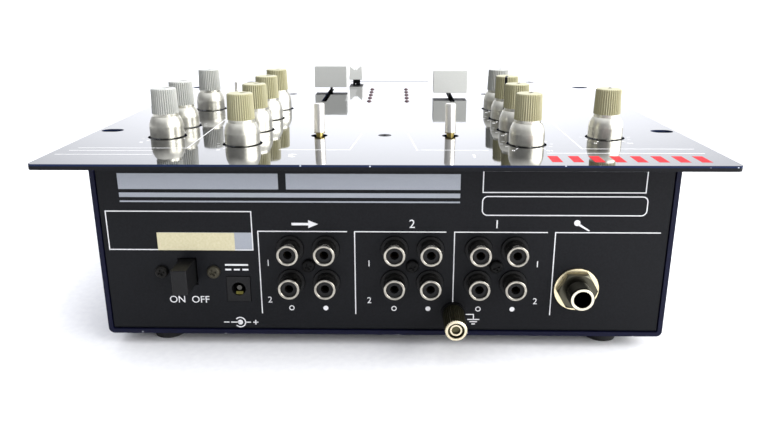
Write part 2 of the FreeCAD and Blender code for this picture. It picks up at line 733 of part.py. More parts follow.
def make_fader_cap(width, length, height):
    """A finger cap with a dipped top, an index ridge and a socket for the lever."""
    foot = PLATE_TOP + FADER_CAP_LIFT
    top = foot + height
    half = length / 2
    lean = half - FADER_CAP_DRAFT
    dip = top - FADER_CAP_DIP
    lip = lean - FADER_CAP_DRAFT
    ridge = CAP_INDEX_WIDTH / 2
    ridge_top = dip + CAP_INDEX_HEIGHT
    outline = [
        ((-half, foot), (half, foot)),
        ((half, foot), (lean, top)),
        ((lean, top), (lip, top)),
        ((lip, top), (ridge, dip)),
        ((ridge, dip), (ridge, ridge_top)),
        ((ridge, ridge_top), (-ridge, ridge_top)),
        ((-ridge, ridge_top), (-ridge, dip)),
        ((-ridge, dip), (-lip, top)),
        ((-lip, top), (-lean, top)),
        ((-lean, top), (-half, foot)),
    ]
    edges = [line(a, b) for a, b in outline]
    profile = Part.Face(Part.Wire(edges))
    body = profile.extrude(Vector(0, width, 0))
    body.translate(Vector(0, -width / 2, 0))
    body.rotate(Vector(0, 0, 0), UP, 90)
    socket_depth = min(CAP_SOCKET_DEPTH, height / 2)
    socket = centred_box(0, 0, LEVER_THICK, LEVER_LENGTH, foot, foot + socket_depth)
    return body.cut(socket)


def fader_placed(shape, x, y, offset, along_x):
    """A fader piece moved to its slot, with the offset along the travel."""
    turn = -90.0 if along_x else 0.0
    dx = offset if along_x else 0.0
    dy = 0.0 if along_x else offset
    return placed(shape, Vector(x + dx, y + dy, 0), UP, turn)


def make_toggle_body(x, y, stem_d):
    body = centred_box(x, y, TOGGLE_BODY_WIDTH, TOGGLE_BODY_LENGTH, BOARD_TOP, DECK_BOTTOM)
    seat = Part.makeSphere(TOGGLE_BALL_D / 2 + RUN_CLEAR, Vector(x, y, TOGGLE_PIVOT_Z))
    mouth_foot = toggle_reach(stem_d, 0) + RUN_CLEAR
    mouth_top = toggle_reach(stem_d, TOGGLE_PIVOT_DROP) + RUN_CLEAR
    mouth = Part.makeCone(mouth_foot, mouth_top, TOGGLE_PIVOT_DROP, Vector(x, y, TOGGLE_PIVOT_Z))
    return body.cut([seat, mouth])


def make_toggle_lever(x, y, lever_d, stem_d, height):
    """A lever on a ball, tilted towards the user."""
    pivot = Vector(x, y, TOGGLE_PIVOT_Z)
    shoulder = PLATE_TOP + TOGGLE_SHOULDER
    ball = Part.makeSphere(TOGGLE_BALL_D / 2, pivot)
    stem = upright(x, y, stem_d, TOGGLE_PIVOT_Z, shoulder)
    lever = upright(x, y, lever_d, shoulder, PLATE_TOP + height)
    top_edge = [e for e in lever.Edges if e.BoundBox.ZMin > shoulder + height / 2]
    lever = lever.makeFillet(TOGGLE_TIP_ROUND, top_edge)
    whole = ball.fuse([stem, lever]).removeSplitter()
    return whole.rotated(pivot, Vector(1, 0, 0), TOGGLE_TILT)


def make_level_leds():
    lights = []
    flange_foot = DECK_BOTTOM - LED_FLANGE_H
    dome = PLATE_TOP + LED_PROUD - LED_D / 2
    for x, y in led_places():
        pieces = [upright(x, y, LED_D, flange_foot, dome), Part.makeSphere(LED_D / 2, Vector(x, y, dome))]
        for side in (-1, 1):
            pieces.append(upright(x + side * LED_LEAD_PITCH / 2, y, LED_LEAD_D, BOARD_TOP, flange_foot))
        flange = upright(x, y, LED_FLANGE_D, flange_foot, DECK_BOTTOM)
        lights.append(flange.fuse(pieces).removeSplitter())
    return Part.makeCompound(lights)


def rca_core_d():
    return RCA_SHELL_D - 2 * RCA_SHELL_WALL


def make_rca_housing(x_centre, sockets):
    """A block behind the panel with a collar and an insulated core for each socket."""
    z_centre = CASE_BOTTOM + RCA_CENTRE_HEIGHT
    half = RCA_PITCH / 2 + RCA_BLOCK_BORDER
    back = PANEL_INNER_Y - RCA_BLOCK_DEPTH
    block = box(x_centre - half, x_centre + half, back, PANEL_INNER_Y, z_centre - half, z_centre + half)
    collar_end = PANEL_OUTER_Y + RCA_COLLAR_PROUD
    core_end = PANEL_OUTER_Y + RCA_REACH - RCA_CORE_RECESS
    seat = PANEL_INNER_Y - RCA_BLOCK_DEPTH / 2
    collars = [level(x, z, RCA_COLLAR_D, PANEL_INNER_Y, collar_end) for x, z in sockets]
    groove_d = RCA_SHELL_D - 2 * RCA_SHELL_STEP
    grooves = [level(x, z, groove_d, seat, collar_end) for x, z in sockets]
    cores = [level(x, z, rca_core_d(), seat, core_end) for x, z in sockets]
    bores = [level(x, z, RCA_BORE_D, back, core_end) for x, z in sockets]
    screw_hole = level(x_centre, z_centre, SCREW_D, PANEL_INNER_Y - SCREW_GRIP, PANEL_INNER_Y)
    return block.fuse(collars).cut(grooves).fuse(cores).cut(bores + [screw_hole]).removeSplitter()


def make_rca_shell(x, z):
    """A tube that is stepped down where it sits in its collar."""
    seat = PANEL_INNER_Y - RCA_BLOCK_DEPTH / 2
    collar_end = PANEL_OUTER_Y + RCA_COLLAR_PROUD
    end = PANEL_OUTER_Y + RCA_REACH
    root = level(x, z, RCA_SHELL_D - 2 * RCA_SHELL_STEP, seat, collar_end)
    tube = root.fuse(level(x, z, RCA_SHELL_D, collar_end, end)).cut(level(x, z, rca_core_d(), seat, end))
    lip = [e for e in tube.Edges if e.BoundBox.YMin > end - RCA_LIP_ROUND]
    return tube.makeFillet(RCA_LIP_ROUND, lip)


def make_rca_contact(x, z):
    back = PANEL_INNER_Y - RCA_BLOCK_DEPTH
    end = PANEL_OUTER_Y + RCA_REACH - RCA_CORE_RECESS - RCA_CONTACT_RECESS
    hole = RCA_BORE_D - 2 * RCA_CONTACT_WALL
    return level(x, z, RCA_BORE_D, back, end).cut(level(x, z, hole, back, end))


def make_socket_contacts():
    """Inner contacts of the phono sockets and the centre pin of the power socket."""
    contacts = [make_rca_contact(x, z) for group in rca_places() for x, z in group]
    z = CASE_BOTTOM + DC_HEIGHT
    face = PANEL_OUTER_Y + DC_FACE_PROUD
    contacts.append(level(DC_X, z, DC_PIN_D, face - DC_BORE_DEPTH, face - DC_PIN_RECESS))
    return Part.makeCompound(contacts)


def make_jack_board():
    """The board that the phono blocks are soldered to."""
    z = CASE_BOTTOM + RCA_CENTRE_HEIGHT
    half = RCA_PITCH / 2 + RCA_BLOCK_BORDER + JACK_BOARD_MARGIN
    front = PANEL_INNER_Y - RCA_BLOCK_DEPTH
    x0 = min(RCA_GROUPS_X) - half
    x1 = max(RCA_GROUPS_X) + half
    return box(x0, x1, front - BOARD_THICK, front, z - half, z + half)


def jack_places():
    """X, Z, reach past the panel, and whether the jack is at the front."""
    return [
        (MIC_X, CASE_BOTTOM + MIC_HEIGHT, MIC_REACH, False),
        (-PHONES_X, CASE_BOTTOM + PHONES_HEIGHT, PHONES_REACH, True),
    ]


def make_jacks():
    """Bodies, threaded sleeves, and washers with nuts of the quarter inch jacks."""
    bodies = []
    sleeves = []
    nuts = []
    for x, z, reach, at_front in jack_places():
        back = PANEL_INNER_Y - JACK_BODY_DEPTH
        half = JACK_BODY_WIDTH / 2
        end = PANEL_OUTER_Y + reach
        body = box(x - half, x + half, back, PANEL_INNER_Y, z - half, z + half)
        bore = level(x, z, JACK_BORE_D, back, end)
        sleeve_foot = PANEL_INNER_Y - JACK_SLEEVE_SEAT
        seat = level(x, z, JACK_SLEEVE_D, sleeve_foot, PANEL_INNER_Y)
        sleeve = level(x, z, JACK_SLEEVE_D, sleeve_foot, end)
        washer_end = PANEL_OUTER_Y + JACK_WASHER_H
        washer = level(x, z, JACK_WASHER_D, PANEL_OUTER_Y, washer_end)
        nut = hexagon(x, z, JACK_NUT_FLATS, washer_end, washer_end + JACK_NUT_H)
        shapes = (body.cut([bore, seat]), sleeve.cut(bore), washer.cut(sleeve), nut.cut(sleeve))
        if at_front:
            shapes = [half_turn(s) for s in shapes]
        bodies.append(shapes[0])
        sleeves.append(shapes[1])
        nuts += shapes[2:]
    return bodies, sleeves, nuts


def hexagon(x, z, flats, y0, y1):
    """A six-sided nut blank along Y, with its corners bevelled on the outer face."""
    radius = flats / math.sqrt(3)
    points = []
    for i in range(7):
        angle = math.pi / 3 * i
        points.append(Vector(x + radius * math.cos(angle), y0, z + radius * math.sin(angle)))
    height = y1 - y0
    prism = Part.Face(Part.makePolygon(points)).extrude(Vector(0, height, 0))
    bevel = Part.makeCone(flats / 2 + height, flats / 2, height, Vector(x, y0, z), REARWARD)
    return prism.common(bevel)


def dc_prism(grow, y0, y1):
    """The squared front of the power socket, grown on every side."""
    z = CASE_BOTTOM + DC_HEIGHT
    half_width = DC_FACE_WIDTH / 2 + grow
    half_height = DC_FACE_HEIGHT / 2 + grow
    return box(DC_X - half_width, DC_X + half_width, y0, y1, z - half_height, z + half_height)


def make_dc_jack():
    face = PANEL_OUTER_Y + DC_FACE_PROUD
    back = PANEL_INNER_Y - DC_BODY_DEPTH
    body = dc_prism(DC_SHOULDER, back, PANEL_INNER_Y).fuse(dc_prism(0, back, face))
    z = CASE_BOTTOM + DC_HEIGHT
    bore = level(DC_X, z, DC_BORE_D, face - DC_BORE_DEPTH, face)
    return body.cut(bore).removeSplitter()


def button_prism(grow, y0, y1):
    """The section of the power button, grown on every side."""
    z = CASE_BOTTOM + POWER_HEIGHT
    half_width = BUTTON_WIDTH / 2 + grow
    half_height = BUTTON_HEIGHT / 2 + grow
    return box(POWER_X - half_width, POWER_X + half_width, y0, y1, z - half_height, z + half_height)


def make_power_button():
    end = PANEL_OUTER_Y + BUTTON_REACH
    button = button_prism(0, PANEL_INNER_Y - BUTTON_TAIL, end)
    front_edges = [e for e in button.Edges if e.BoundBox.YMin > end - BUTTON_ROUND]
    return button.makeFillet(BUTTON_ROUND, front_edges)


def make_power_switch():
    """Switch body with the mounting plate that is screwed to the panel."""
    z = CASE_BOTTOM + POWER_HEIGHT
    half_plate = POWER_SCREW_SPACING / 2 + SWITCH_PLATE_BORDER
    half_height = BUTTON_HEIGHT / 2 + SWITCH_WALL
    plate_y = PANEL_INNER_Y - SWITCH_PLATE_THICK
    left = POWER_X - half_plate
    right = POWER_X + half_plate
    plate = box(left, right, plate_y, PANEL_INNER_Y, z - half_height, z + half_height)
    tail_room = PANEL_INNER_Y - BUTTON_TAIL - BUTTON_TRAVEL - RUN_CLEAR
    body = button_prism(SWITCH_WALL, tail_room - SWITCH_WALL, PANEL_INNER_Y)
    tools = [button_prism(RUN_CLEAR, tail_room, PANEL_INNER_Y)]
    for side in (-1, 1):
        x = POWER_X + side * POWER_SCREW_SPACING / 2
        tools.append(level(x, z, SCREW_D, plate_y, PANEL_INNER_Y))
    return plate.fuse(body).cut(tools).removeSplitter()


def ground_nut_start():
    return PANEL_OUTER_Y + RUN_CLEAR + GROUND_WASHER_H


def make_ground_stud():
    z = CASE_BOTTOM + GROUND_HEIGHT
    end = ground_nut_start() + THUMB_NUT_LENGTH - STUD_SHORT
    head = level(GROUND_X, z, STUD_HEAD_D, PANEL_INNER_Y - STUD_HEAD_H, PANEL_INNER_Y)
    shank = level(GROUND_X, z, STUD_D, PANEL_INNER_Y, end)
    cup = level(GROUND_X, z, STUD_CUP_D, end - STUD_CUP_DEPTH, end)
    return head.fuse(shank).cut(cup).removeSplitter()


def make_ground_washer():
    z = CASE_BOTTOM + GROUND_HEIGHT
    y0 = PANEL_OUTER_Y + RUN_CLEAR
    disc = level(GROUND_X, z, GROUND_WASHER_D, y0, y0 + GROUND_WASHER_H)
    return disc.cut(level(GROUND_X, z, STUD_D + 2 * RUN_CLEAR, y0, y0 + GROUND_WASHER_H))


def make_ground_thumb_nut():
    """A long knurled nut, cupped at its outer end so that the stud shows in it."""
    bottom = star(THUMB_NUT_GROOVES, THUMB_NUT_D / 2, THUMB_NUT_GROOVE_DEPTH, 0)
    body = Part.Face(bottom).extrude(Vector(0, 0, THUMB_NUT_LENGTH))
    rim = THUMB_NUT_D / 2
    envelope = revolve(polyline([
        (0, 0),
        (rim - THUMB_NUT_BEVEL, 0),
        (rim, THUMB_NUT_BEVEL),
        (rim, THUMB_NUT_LENGTH - THUMB_NUT_BEVEL),
        (rim - THUMB_NUT_BEVEL, THUMB_NUT_LENGTH),
        (0, THUMB_NUT_LENGTH),
    ]))
    bore = upright(0, 0, STUD_D + 2 * RUN_CLEAR, 0, THUMB_NUT_LENGTH)
    cup = upright(0, 0, THUMB_NUT_CUP_D, THUMB_NUT_LENGTH - THUMB_NUT_CUP_DEPTH, THUMB_NUT_LENGTH)
    nut = body.common(envelope).cut([bore, cup])
    return placed(nut, Vector(GROUND_X, ground_nut_start(), CASE_BOTTOM + GROUND_HEIGHT), REARWARD)


def build_case():
    return {
        "base_shell": make_base_shell(),
        "rear_panel": make_rear_panel(),
        "front_panel": make_front_panel(),
        "top_deck": make_top_deck(),
        "face_panel": make_face_panel(),
        "rubber_feet": make_rubber_feet(),
        "case_screws": make_case_screws(),
        "main_board": make_main_board(),
        "board_standoffs": make_board_standoffs(),
    }


def build_knobs():
    nodes = {"pot_bodies": make_pot_bodies()}
    skirt = make_knob_skirt()
    cap = make_knob_cap()
    for name, x, y, turn in knob_places():
        nodes["knob_skirt_" + name] = placed(skirt, Vector(x, y, 0), UP, -turn)
        nodes["knob_cap_" + name] = placed(cap, Vector(x, y, 0), UP, -turn)
    return nodes


def build_faders():
    frames = []
    rails = []
    nodes = {}
    for name, x, y, offset, along_x in fader_places():
        size = (FADER_CAP_WIDTH, FADER_CAP_LENGTH, FADER_CAP_HEIGHT)
        if along_x:
            size = (CROSS_CAP_WIDTH, CROSS_CAP_LENGTH, CROSS_CAP_HEIGHT)
        frames.append(fader_placed(make_fader_frame(), x, y, 0, along_x))
        rails += [fader_placed(rail, x, y, 0, along_x) for rail in make_fader_rails()]
        carriage = make_fader_carriage(size[2])
        nodes[name + "_carriage"] = fader_placed(carriage, x, y, offset, along_x)
        nodes[name + "_cap"] = fader_placed(make_fader_cap(*size), x, y, offset, along_x)
    nodes["fader_frames"] = Part.makeCompound(frames)
    nodes["fader_rails"] = Part.makeCompound(rails)
    return nodes


def build_toggles():
    bodies = []
    nodes = {}
    for name, x, y, lever_d, stem_d, height in toggle_places():
        bodies.append(make_toggle_body(x, y, stem_d))
        nodes[name + "_lever"] = make_toggle_lever(x, y, lever_d, stem_d, height)
    nodes["toggle_bodies"] = Part.makeCompound(bodies)
    return nodes


def build_connectors():
    groups = rca_places()
    housings = [make_rca_housing(x, group) for x, group in zip(RCA_GROUPS_X, groups)]
    shells = [make_rca_shell(x, z) for group in groups for x, z in group]
    jack_bodies, jack_sleeves, jack_nuts = make_jacks()
    return {
        "rca_housings": Part.makeCompound(housings),
        "rca_shells": Part.makeCompound(shells),
        "socket_contacts": make_socket_contacts(),
        "jack_board": make_jack_board(),
        "jack_bodies": Part.makeCompound(jack_bodies),
        "jack_sleeves": Part.makeCompound(jack_sleeves),
        "jack_nuts": Part.makeCompound(jack_nuts),
        "dc_jack": make_dc_jack(),
        "power_switch": make_power_switch(),
        "power_button": make_power_button(),
        "ground_stud": make_ground_stud(),
        "ground_washer": make_ground_washer(),
        "ground_thumb_nut": make_ground_thumb_nut(),
    }


def build_mixer():
    nodes = build_case()
    nodes.update(build_knobs())
    nodes.update(build_faders())
    nodes.update(build_toggles())
    nodes["level_leds"] = make_level_leds()
    nodes.update(build_connectors())
    return nodes


os.makedirs("parts", exist_ok=True)
MIXER = build_mixer()
for node_name, node_shape in MIXER.items():
    node_shape.exportStep("parts/" + node_name + ".step")
print(len(MIXER), "nodes,", sum(len(s.Solids) for s in MIXER.values()), "solids")
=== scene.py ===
# %% [markdown]
# # Dressing a two-channel DJ mixer
# The mixer comes in as a finished assembly: a folded steel case, a wide gloss plate with knobs and faders,
# and a rear panel full of sockets. Every piece already has its true size and place, so this lesson adds
# only what the eye needs: a camera, light, a finish for each material, printed marks and a few fine shapes.

# %% Load the assembly
import json
import math

import bmesh
import bpy
from mathutils import Matrix, Vector


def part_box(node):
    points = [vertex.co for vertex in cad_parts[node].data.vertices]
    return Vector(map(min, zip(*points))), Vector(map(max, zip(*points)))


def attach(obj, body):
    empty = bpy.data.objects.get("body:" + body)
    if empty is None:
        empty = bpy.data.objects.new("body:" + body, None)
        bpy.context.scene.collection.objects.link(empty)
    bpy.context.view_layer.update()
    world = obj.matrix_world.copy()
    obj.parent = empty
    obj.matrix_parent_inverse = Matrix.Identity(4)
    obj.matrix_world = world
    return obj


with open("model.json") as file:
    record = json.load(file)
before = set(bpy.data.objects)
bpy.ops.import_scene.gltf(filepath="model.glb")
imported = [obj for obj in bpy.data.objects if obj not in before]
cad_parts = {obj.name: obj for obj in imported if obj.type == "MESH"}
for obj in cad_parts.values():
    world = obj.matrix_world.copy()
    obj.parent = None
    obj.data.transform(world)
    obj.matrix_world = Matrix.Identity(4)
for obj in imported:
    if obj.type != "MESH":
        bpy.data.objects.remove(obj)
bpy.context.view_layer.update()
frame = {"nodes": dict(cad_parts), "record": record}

nodes = frame["nodes"]
MM = 0.001

# %% [markdown]
# ## The camera
# The view is from behind the mixer, a little above its plate and close enough for strong perspective. A
# camera can be aimed by hand, with a target, or with the turns that a surveyor would write down. Turns are
# used here, because yaw, pitch and roll can each be corrected without touching the others.

# %% Camera
CAMERA_PLACE = Vector((-5.6, 379.7, 138.55)) * MM
CAMERA_YAW = math.radians(181.16)
CAMERA_PITCH = math.radians(17.48)
CAMERA_ROLL = math.radians(-0.12)
CAMERA_LENS = 33.12

camera = bpy.data.objects.new("camera", bpy.data.cameras.new("camera"))
bpy.context.scene.collection.objects.link(camera)
camera.data.lens = CAMERA_LENS
camera.data.clip_start = 0.01
camera.matrix_world = (
    Matrix.Translation(CAMERA_PLACE)
    @ Matrix.Rotation(CAMERA_YAW, 4, "Z")
    @ Matrix.Rotation(math.pi / 2 - CAMERA_PITCH, 4, "X")
    @ Matrix.Rotation(CAMERA_ROLL, 4, "Z")
)
bpy.context.scene.camera = camera
print("camera", [round(v, 3) for v in camera.location], "lens", CAMERA_LENS)

# %% [markdown]
# ## Colours and nodes
# Colours are written as the hex values that a paint program shows. A shader counts light, so each hex value
# is turned to linear light once, by one function. A second function adds a node, sets it and links it, so
# that every material below reads as a short list of what it is made of.

# %% Colours and nodes
def linear(hex_value):
    """Linear RGBA from an sRGB hex value."""
    channels = [int(hex_value[i:i + 2], 16) / 255 for i in (1, 3, 5)]
    light = [c / 12.92 if c <= 0.04045 else ((c + 0.055) / 1.055) ** 2.4 for c in channels]
    return (*light, 1.0)


def feed(owner, node, inputs):
    """Set a node's inputs by socket name: a hex colour, a number, or another node's output."""
    for name, value in inputs.items():
        if isinstance(value, bpy.types.NodeSocket):
            owner.node_tree.links.new(value, node.inputs[name])
        else:
            node.inputs[name].default_value = linear(value) if isinstance(value, str) else value
    return node


def add_node(owner, kind, inputs, stops=(), **settings):
    """Add one node with its settings, its inputs and, on a colour ramp, its stops."""
    node = owner.node_tree.nodes.new(kind)
    for name, value in settings.items():
        setattr(node, name, value)
    for index, (position, colour) in enumerate(stops):
        ramp = node.color_ramp.elements
        stop = ramp[index] if index < len(ramp) else ramp.new(position)
        stop.position = position
        stop.color = linear(colour)
    return feed(owner, node, inputs)


print("white is", [round(v, 2) for v in linear("#ffffff")])

# %% Starting a material
def start_material(name):
    """A new material, its main shader, and the place on the piece in metres."""
    material = bpy.data.materials.new(name)
    material.use_nodes = True
    shader = material.node_tree.nodes["Principled BSDF"]
    place = add_node(material, "ShaderNodeTexCoord", {}).outputs["Object"]
    return material, shader, place


def scale_for(size):
    """The scale of a pattern whose features have this size in millimetres."""
    return 1 / (size * MM)


def grain(material, place, size, depth, detail=3.0):
    """Cloudy grain of a size and depth in millimetres: its pattern, and the bumps that it makes."""
    cloud = add_node(material, "ShaderNodeTexNoise", {
        "Vector": place, "Scale": scale_for(size), "Detail": detail})
    bump = add_node(material, "ShaderNodeBump", {"Height": cloud.outputs["Fac"], "Distance": depth * MM})
    return cloud.outputs["Fac"], bump.outputs["Normal"]


print("a pattern of 1 mm has the scale", round(scale_for(1.0)))

# %% [markdown]
# ## Floor
# The mixer stands on a plain white board. A floor could be a curved sweep that turns up into a backdrop,
# but a flat board that runs far past the view is enough here, because the light burns its far end out to
# white.

# %% Floor
FLOOR_SIZE = 8.0


def matt_white_board():
    """Painted board: a matt pale ground with a trace of roller texture."""
    material, shader, place = start_material("matt_white_board")
    cloud, normal = grain(material, place, size=3.0, depth=0.01)
    tone = add_node(material, "ShaderNodeValToRGB", {"Fac": cloud}, [(0.3, "#efeff0"), (0.7, "#f6f6f6")])
    feed(material, shader, {"Base Color": tone.outputs["Color"], "Roughness": 0.7, "Normal": normal})
    return material


floor_mesh = bpy.data.meshes.new("floor")
half = FLOOR_SIZE / 2
floor_corners = [(-half, -half, 0), (half, -half, 0), (half, half, 0), (-half, half, 0)]
floor_mesh.from_pydata(floor_corners, [], [(0, 1, 2, 3)])
floor_mesh.materials.append(matt_white_board())
floor = bpy.data.objects.new("floor", floor_mesh)
bpy.context.scene.collection.objects.link(floor)
print("floor", FLOOR_SIZE, "m wide")

# %% [markdown]
# ## Light
# Most of the light comes from the far side, as from a large window, and the gloss plate mirrors it. A world
# with one bright side gives that mirror image from any view, where a lamp would leave a hard spot. One soft
# lamp overhead whitens the floor, which in turn lights the rear panel from below, and one at the right
# gives the round pieces a bright side.

# %% World
world = bpy.data.worlds.new("bright_window")
world.use_nodes = True
bpy.context.scene.world = world
aim = add_node(world, "ShaderNodeTexCoord", {}).outputs["Generated"]


def glow_towards(way, first, last, dim, bright):
    """Brightness of the surroundings that grows from dim to bright as the aim turns to one side."""
    facing = add_node(world, "ShaderNodeVectorMath", {0: aim, 1: Vector(way)}, operation="DOT_PRODUCT")
    level = add_node(world, "ShaderNodeMapRange", {
        "Value": facing.outputs["Value"], "From Min": first, "From Max": last,
        "To Min": dim, "To Max": bright})
    return level.outputs["Result"]


room = glow_towards(way=(-0.3, -0.95, 0.0), first=-0.3, last=0.5, dim=0.3, bright=0.75)
window = glow_towards(way=(0.0, -1.0, 0.0), first=0.78, last=1.0, dim=0.0, bright=1.5)
ceiling = glow_towards(way=(0.0, 0.0, 1.0), first=0.35, last=0.9, dim=0.0, bright=1.5)
low_glow = add_node(world, "ShaderNodeMath", {0: room, 1: window}).outputs["Value"]
all_glow = add_node(world, "ShaderNodeMath", {0: low_glow, 1: ceiling}).outputs["Value"]
feed(world, world.node_tree.nodes["Background"], {"Color": "#f6f8ff", "Strength": all_glow})
print("world", world.name, "has", len(world.node_tree.nodes), "nodes")

# %% Lamps
def soft_lamp(name, place, target, width, height, watts):
    """A softbox that isn't seen by the camera itself."""
    lamp = bpy.data.objects.new(name, bpy.data.lights.new(name, "AREA"))
    lamp.data.shape = "RECTANGLE"
    lamp.data.size = width
    lamp.data.size_y = height
    lamp.data.energy = watts
    lamp.location = place
    lamp.rotation_euler = (Vector(target) - Vector(place)).to_track_quat("-Z", "Y").to_euler()
    lamp.visible_camera = False
    bpy.context.scene.collection.objects.link(lamp)


soft_lamp("side_lamp", place=(-1.0, 0.35, 0.45), target=(0, 0.0, 0.08), width=1.8, height=0.7, watts=30)
soft_lamp("top_lamp", place=(-0.3, -0.3, 1.4), target=(0, 0.05, 0), width=1.0, height=1.0, watts=8)
bpy.context.scene.view_settings.view_transform = "Standard"
print("lamps side_lamp and top_lamp")

# %% [markdown]
# ## Painted, lacquered and blackened steel
# Each slot in the parts list is one real material with one process behind it. The sheets are powder coated,
# the plate is lacquered, and the screws are blackened zinc. A photograph could be wrapped round the pieces
# instead, but it would freeze the light of one moment. Patterns worked out from a size in millimetres stay
# sharp in close-ups and repeat on every piece of the same stock.

# %% Powder coat
CHIP_SPACING = 4.0
CHIP_BAND = 2.0
CHIP_SHARE = 0.11
SHEEN_PATCH = 40.0
FOOT_OF_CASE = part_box("base_shell")[0][2]


def powder_coated_steel(name, dark, light):
    """Satin powder coat: a faint orange peel on the large flat sheets, chipped to bare metal at the foot."""
    material, shader, place = start_material(name)
    cloud, normal = grain(material, place, size=0.8, depth=0.006)
    paint = add_node(material, "ShaderNodeValToRGB", {"Fac": cloud}, [(0.3, dark), (0.7, light)])
    specks = add_node(material, "ShaderNodeTexVoronoi", {"Vector": place, "Scale": scale_for(CHIP_SPACING)})
    height = add_node(material, "ShaderNodeSeparateXYZ", {"Vector": place}).outputs["Z"]
    nearness = add_node(material, "ShaderNodeMapRange", {
        "Value": height, "From Min": FOOT_OF_CASE, "From Max": FOOT_OF_CASE + CHIP_BAND * MM,
        "To Min": CHIP_SHARE, "To Max": 0.0})
    chipped = add_node(material, "ShaderNodeMath", {
        0: specks.outputs["Distance"], 1: nearness.outputs["Result"]}, operation="LESS_THAN")
    tone = add_node(material, "ShaderNodeMixRGB", {
        "Fac": chipped.outputs["Value"], "Color1": paint.outputs["Color"], "Color2": "#a4a6ac"})
    patches = add_node(material, "ShaderNodeTexNoise", {
        "Vector": place, "Scale": scale_for(SHEEN_PATCH), "Detail": 3.0})
    sheen = add_node(material, "ShaderNodeMapRange", {
        "Value": patches.outputs["Fac"], "To Min": 0.34, "To Max": 0.5})
    feed(material, shader, {
        "Base Color": tone.outputs["Color"], "Roughness": sheen.outputs["Result"],
        "Specular IOR Level": 0.11, "Normal": normal})
    return material


print("powder coat chips every", CHIP_SPACING, "mm within", CHIP_BAND, "mm of the foot")

# %% Lacquer
LACQUER_WAVE = 9.0
SMUDGE_SIZE = 28.0
DUST_SPACING = 3.2
# How far up a face has to look to count as past the cut edge, and as the top of the plate.
PAST_EDGE = 0.5
TOP_OF_PLATE = 0.9


def gloss_lacquer():
    """Black lacquer: a dark mirror with soft waves, smudges and dust, and a chipped edge with a navy painted
    reflection.
    """
    material, shader, place = start_material("gloss_lacquer")
    normal = grain(material, place, size=LACQUER_WAVE, depth=0.0016, detail=1.0)[1]
    smudges = add_node(material, "ShaderNodeTexNoise", {
        "Vector": place, "Scale": scale_for(SMUDGE_SIZE), "Detail": 3.0})
    sheen = add_node(material, "ShaderNodeMapRange", {
        "Value": smudges.outputs["Fac"], "From Min": 0.35, "From Max": 0.75, "To Min": 0.03, "To Max": 0.09})
    facing_out = add_node(material, "ShaderNodeTexCoord", {}).outputs["Normal"]
    upward = add_node(material, "ShaderNodeSeparateXYZ", {"Vector": facing_out}).outputs["Z"]
    top_face = add_node(material, "ShaderNodeMapRange", {
        "Value": upward, "From Min": PAST_EDGE, "From Max": TOP_OF_PLATE})
    clear = add_node(material, "ShaderNodeMapRange", {
        "Value": upward, "From Min": PAST_EDGE, "From Max": TOP_OF_PLATE,
        "To Min": 0.06, "To Max": 0.6}).outputs["Result"]
    specks = add_node(material, "ShaderNodeTexVoronoi", {"Vector": place, "Scale": scale_for(DUST_SPACING)})
    dust = add_node(material, "ShaderNodeValToRGB", {"Fac": specks.outputs["Distance"]},
                    [(0.03, "#8a8a8e"), (0.06, "#06070a")])
    # Painted reflection: the navy on the cut edge stands for bluish light mirrored there, and the pale
    # specks on it are chips.
    chips = add_node(material, "ShaderNodeValToRGB", {"Fac": specks.outputs["Distance"]},
                     [(0.09, "#aab0bd"), (0.11, "#16213d")])
    tone = add_node(material, "ShaderNodeMixRGB", {
        "Fac": top_face.outputs["Result"],
        "Color1": chips.outputs["Color"], "Color2": dust.outputs["Color"]})
    feed(material, shader, {
        "Base Color": tone.outputs["Color"], "Roughness": sheen.outputs["Result"], "Coat Weight": clear,
        "Specular IOR Level": clear, "Coat Roughness": 0.02, "Normal": normal})
    return material


print("lacquer has a speck of dust every", DUST_SPACING, "mm")

# %% Black zinc
# Distance along this diagonal, in metres, tells the screws in the corner of the power switch from the rest.
SWITCH_CORNER = Vector((1.0, 1.0, 0.0))
SWITCH_START = 0.17
SWITCH_END = 0.21


def black_zinc_steel():
    """Black zinc on small screws: dark metal with a soft shine, a lighter brown on the screws in a band
    along the diagonal beside the power socket.
    """
    material, shader, place = start_material("black_zinc_steel")
    normal = grain(material, place, size=0.7, depth=0.01)[1]
    corner = add_node(material, "ShaderNodeVectorMath", {
        0: place, 1: SWITCH_CORNER}, operation="DOT_PRODUCT")
    worn = add_node(material, "ShaderNodeMapRange", {
        "Value": corner.outputs["Value"], "From Min": SWITCH_START, "From Max": SWITCH_END})
    # Along the diagonal, the screws beside the power socket turn a lighter brown.
    tone = add_node(material, "ShaderNodeValToRGB", {"Fac": worn.outputs["Result"]},
                    [(0.2, "#0d0d0d"), (0.4, "#3c392f"), (0.6, "#3c392f"), (0.8, "#1a1917")])
    feed(material, shader, {
        "Base Color": tone.outputs["Color"], "Metallic": 0.5, "Roughness": 0.5,
        "Specular IOR Level": 0.2, "Normal": normal})
    return material


# Beside the power socket the screws are a lighter brown.
print("black zinc is worn from", SWITCH_START, "to", SWITCH_END, "m along the diagonal")

# %% [markdown]
# ## Moulded plastics and rubber
# Caps, housings, feet and lenses are injection mouldings. A spark-eroded mould leaves a fine even grain.
# The caps also get painted shade in their flutes and corners. It could be painted by hand, but ambient
# occlusion finds the same corners on all twelve caps at once.

# %% Mouldings
def moulded_plastic(name, dark, light, roughness, grain_size=0.35, shine=0.5):
    """Injection moulding: an even colour with the fine grain of the spark-eroded mould."""
    material, shader, place = start_material(name)
    cloud, normal = grain(material, place, size=grain_size, depth=0.006)
    tone = add_node(material, "ShaderNodeValToRGB", {"Fac": cloud}, [(0.3, dark), (0.7, light)])
    feed(material, shader, {
        "Base Color": tone.outputs["Color"], "Roughness": roughness, "Normal": normal,
        "Specular IOR Level": shine})
    return material


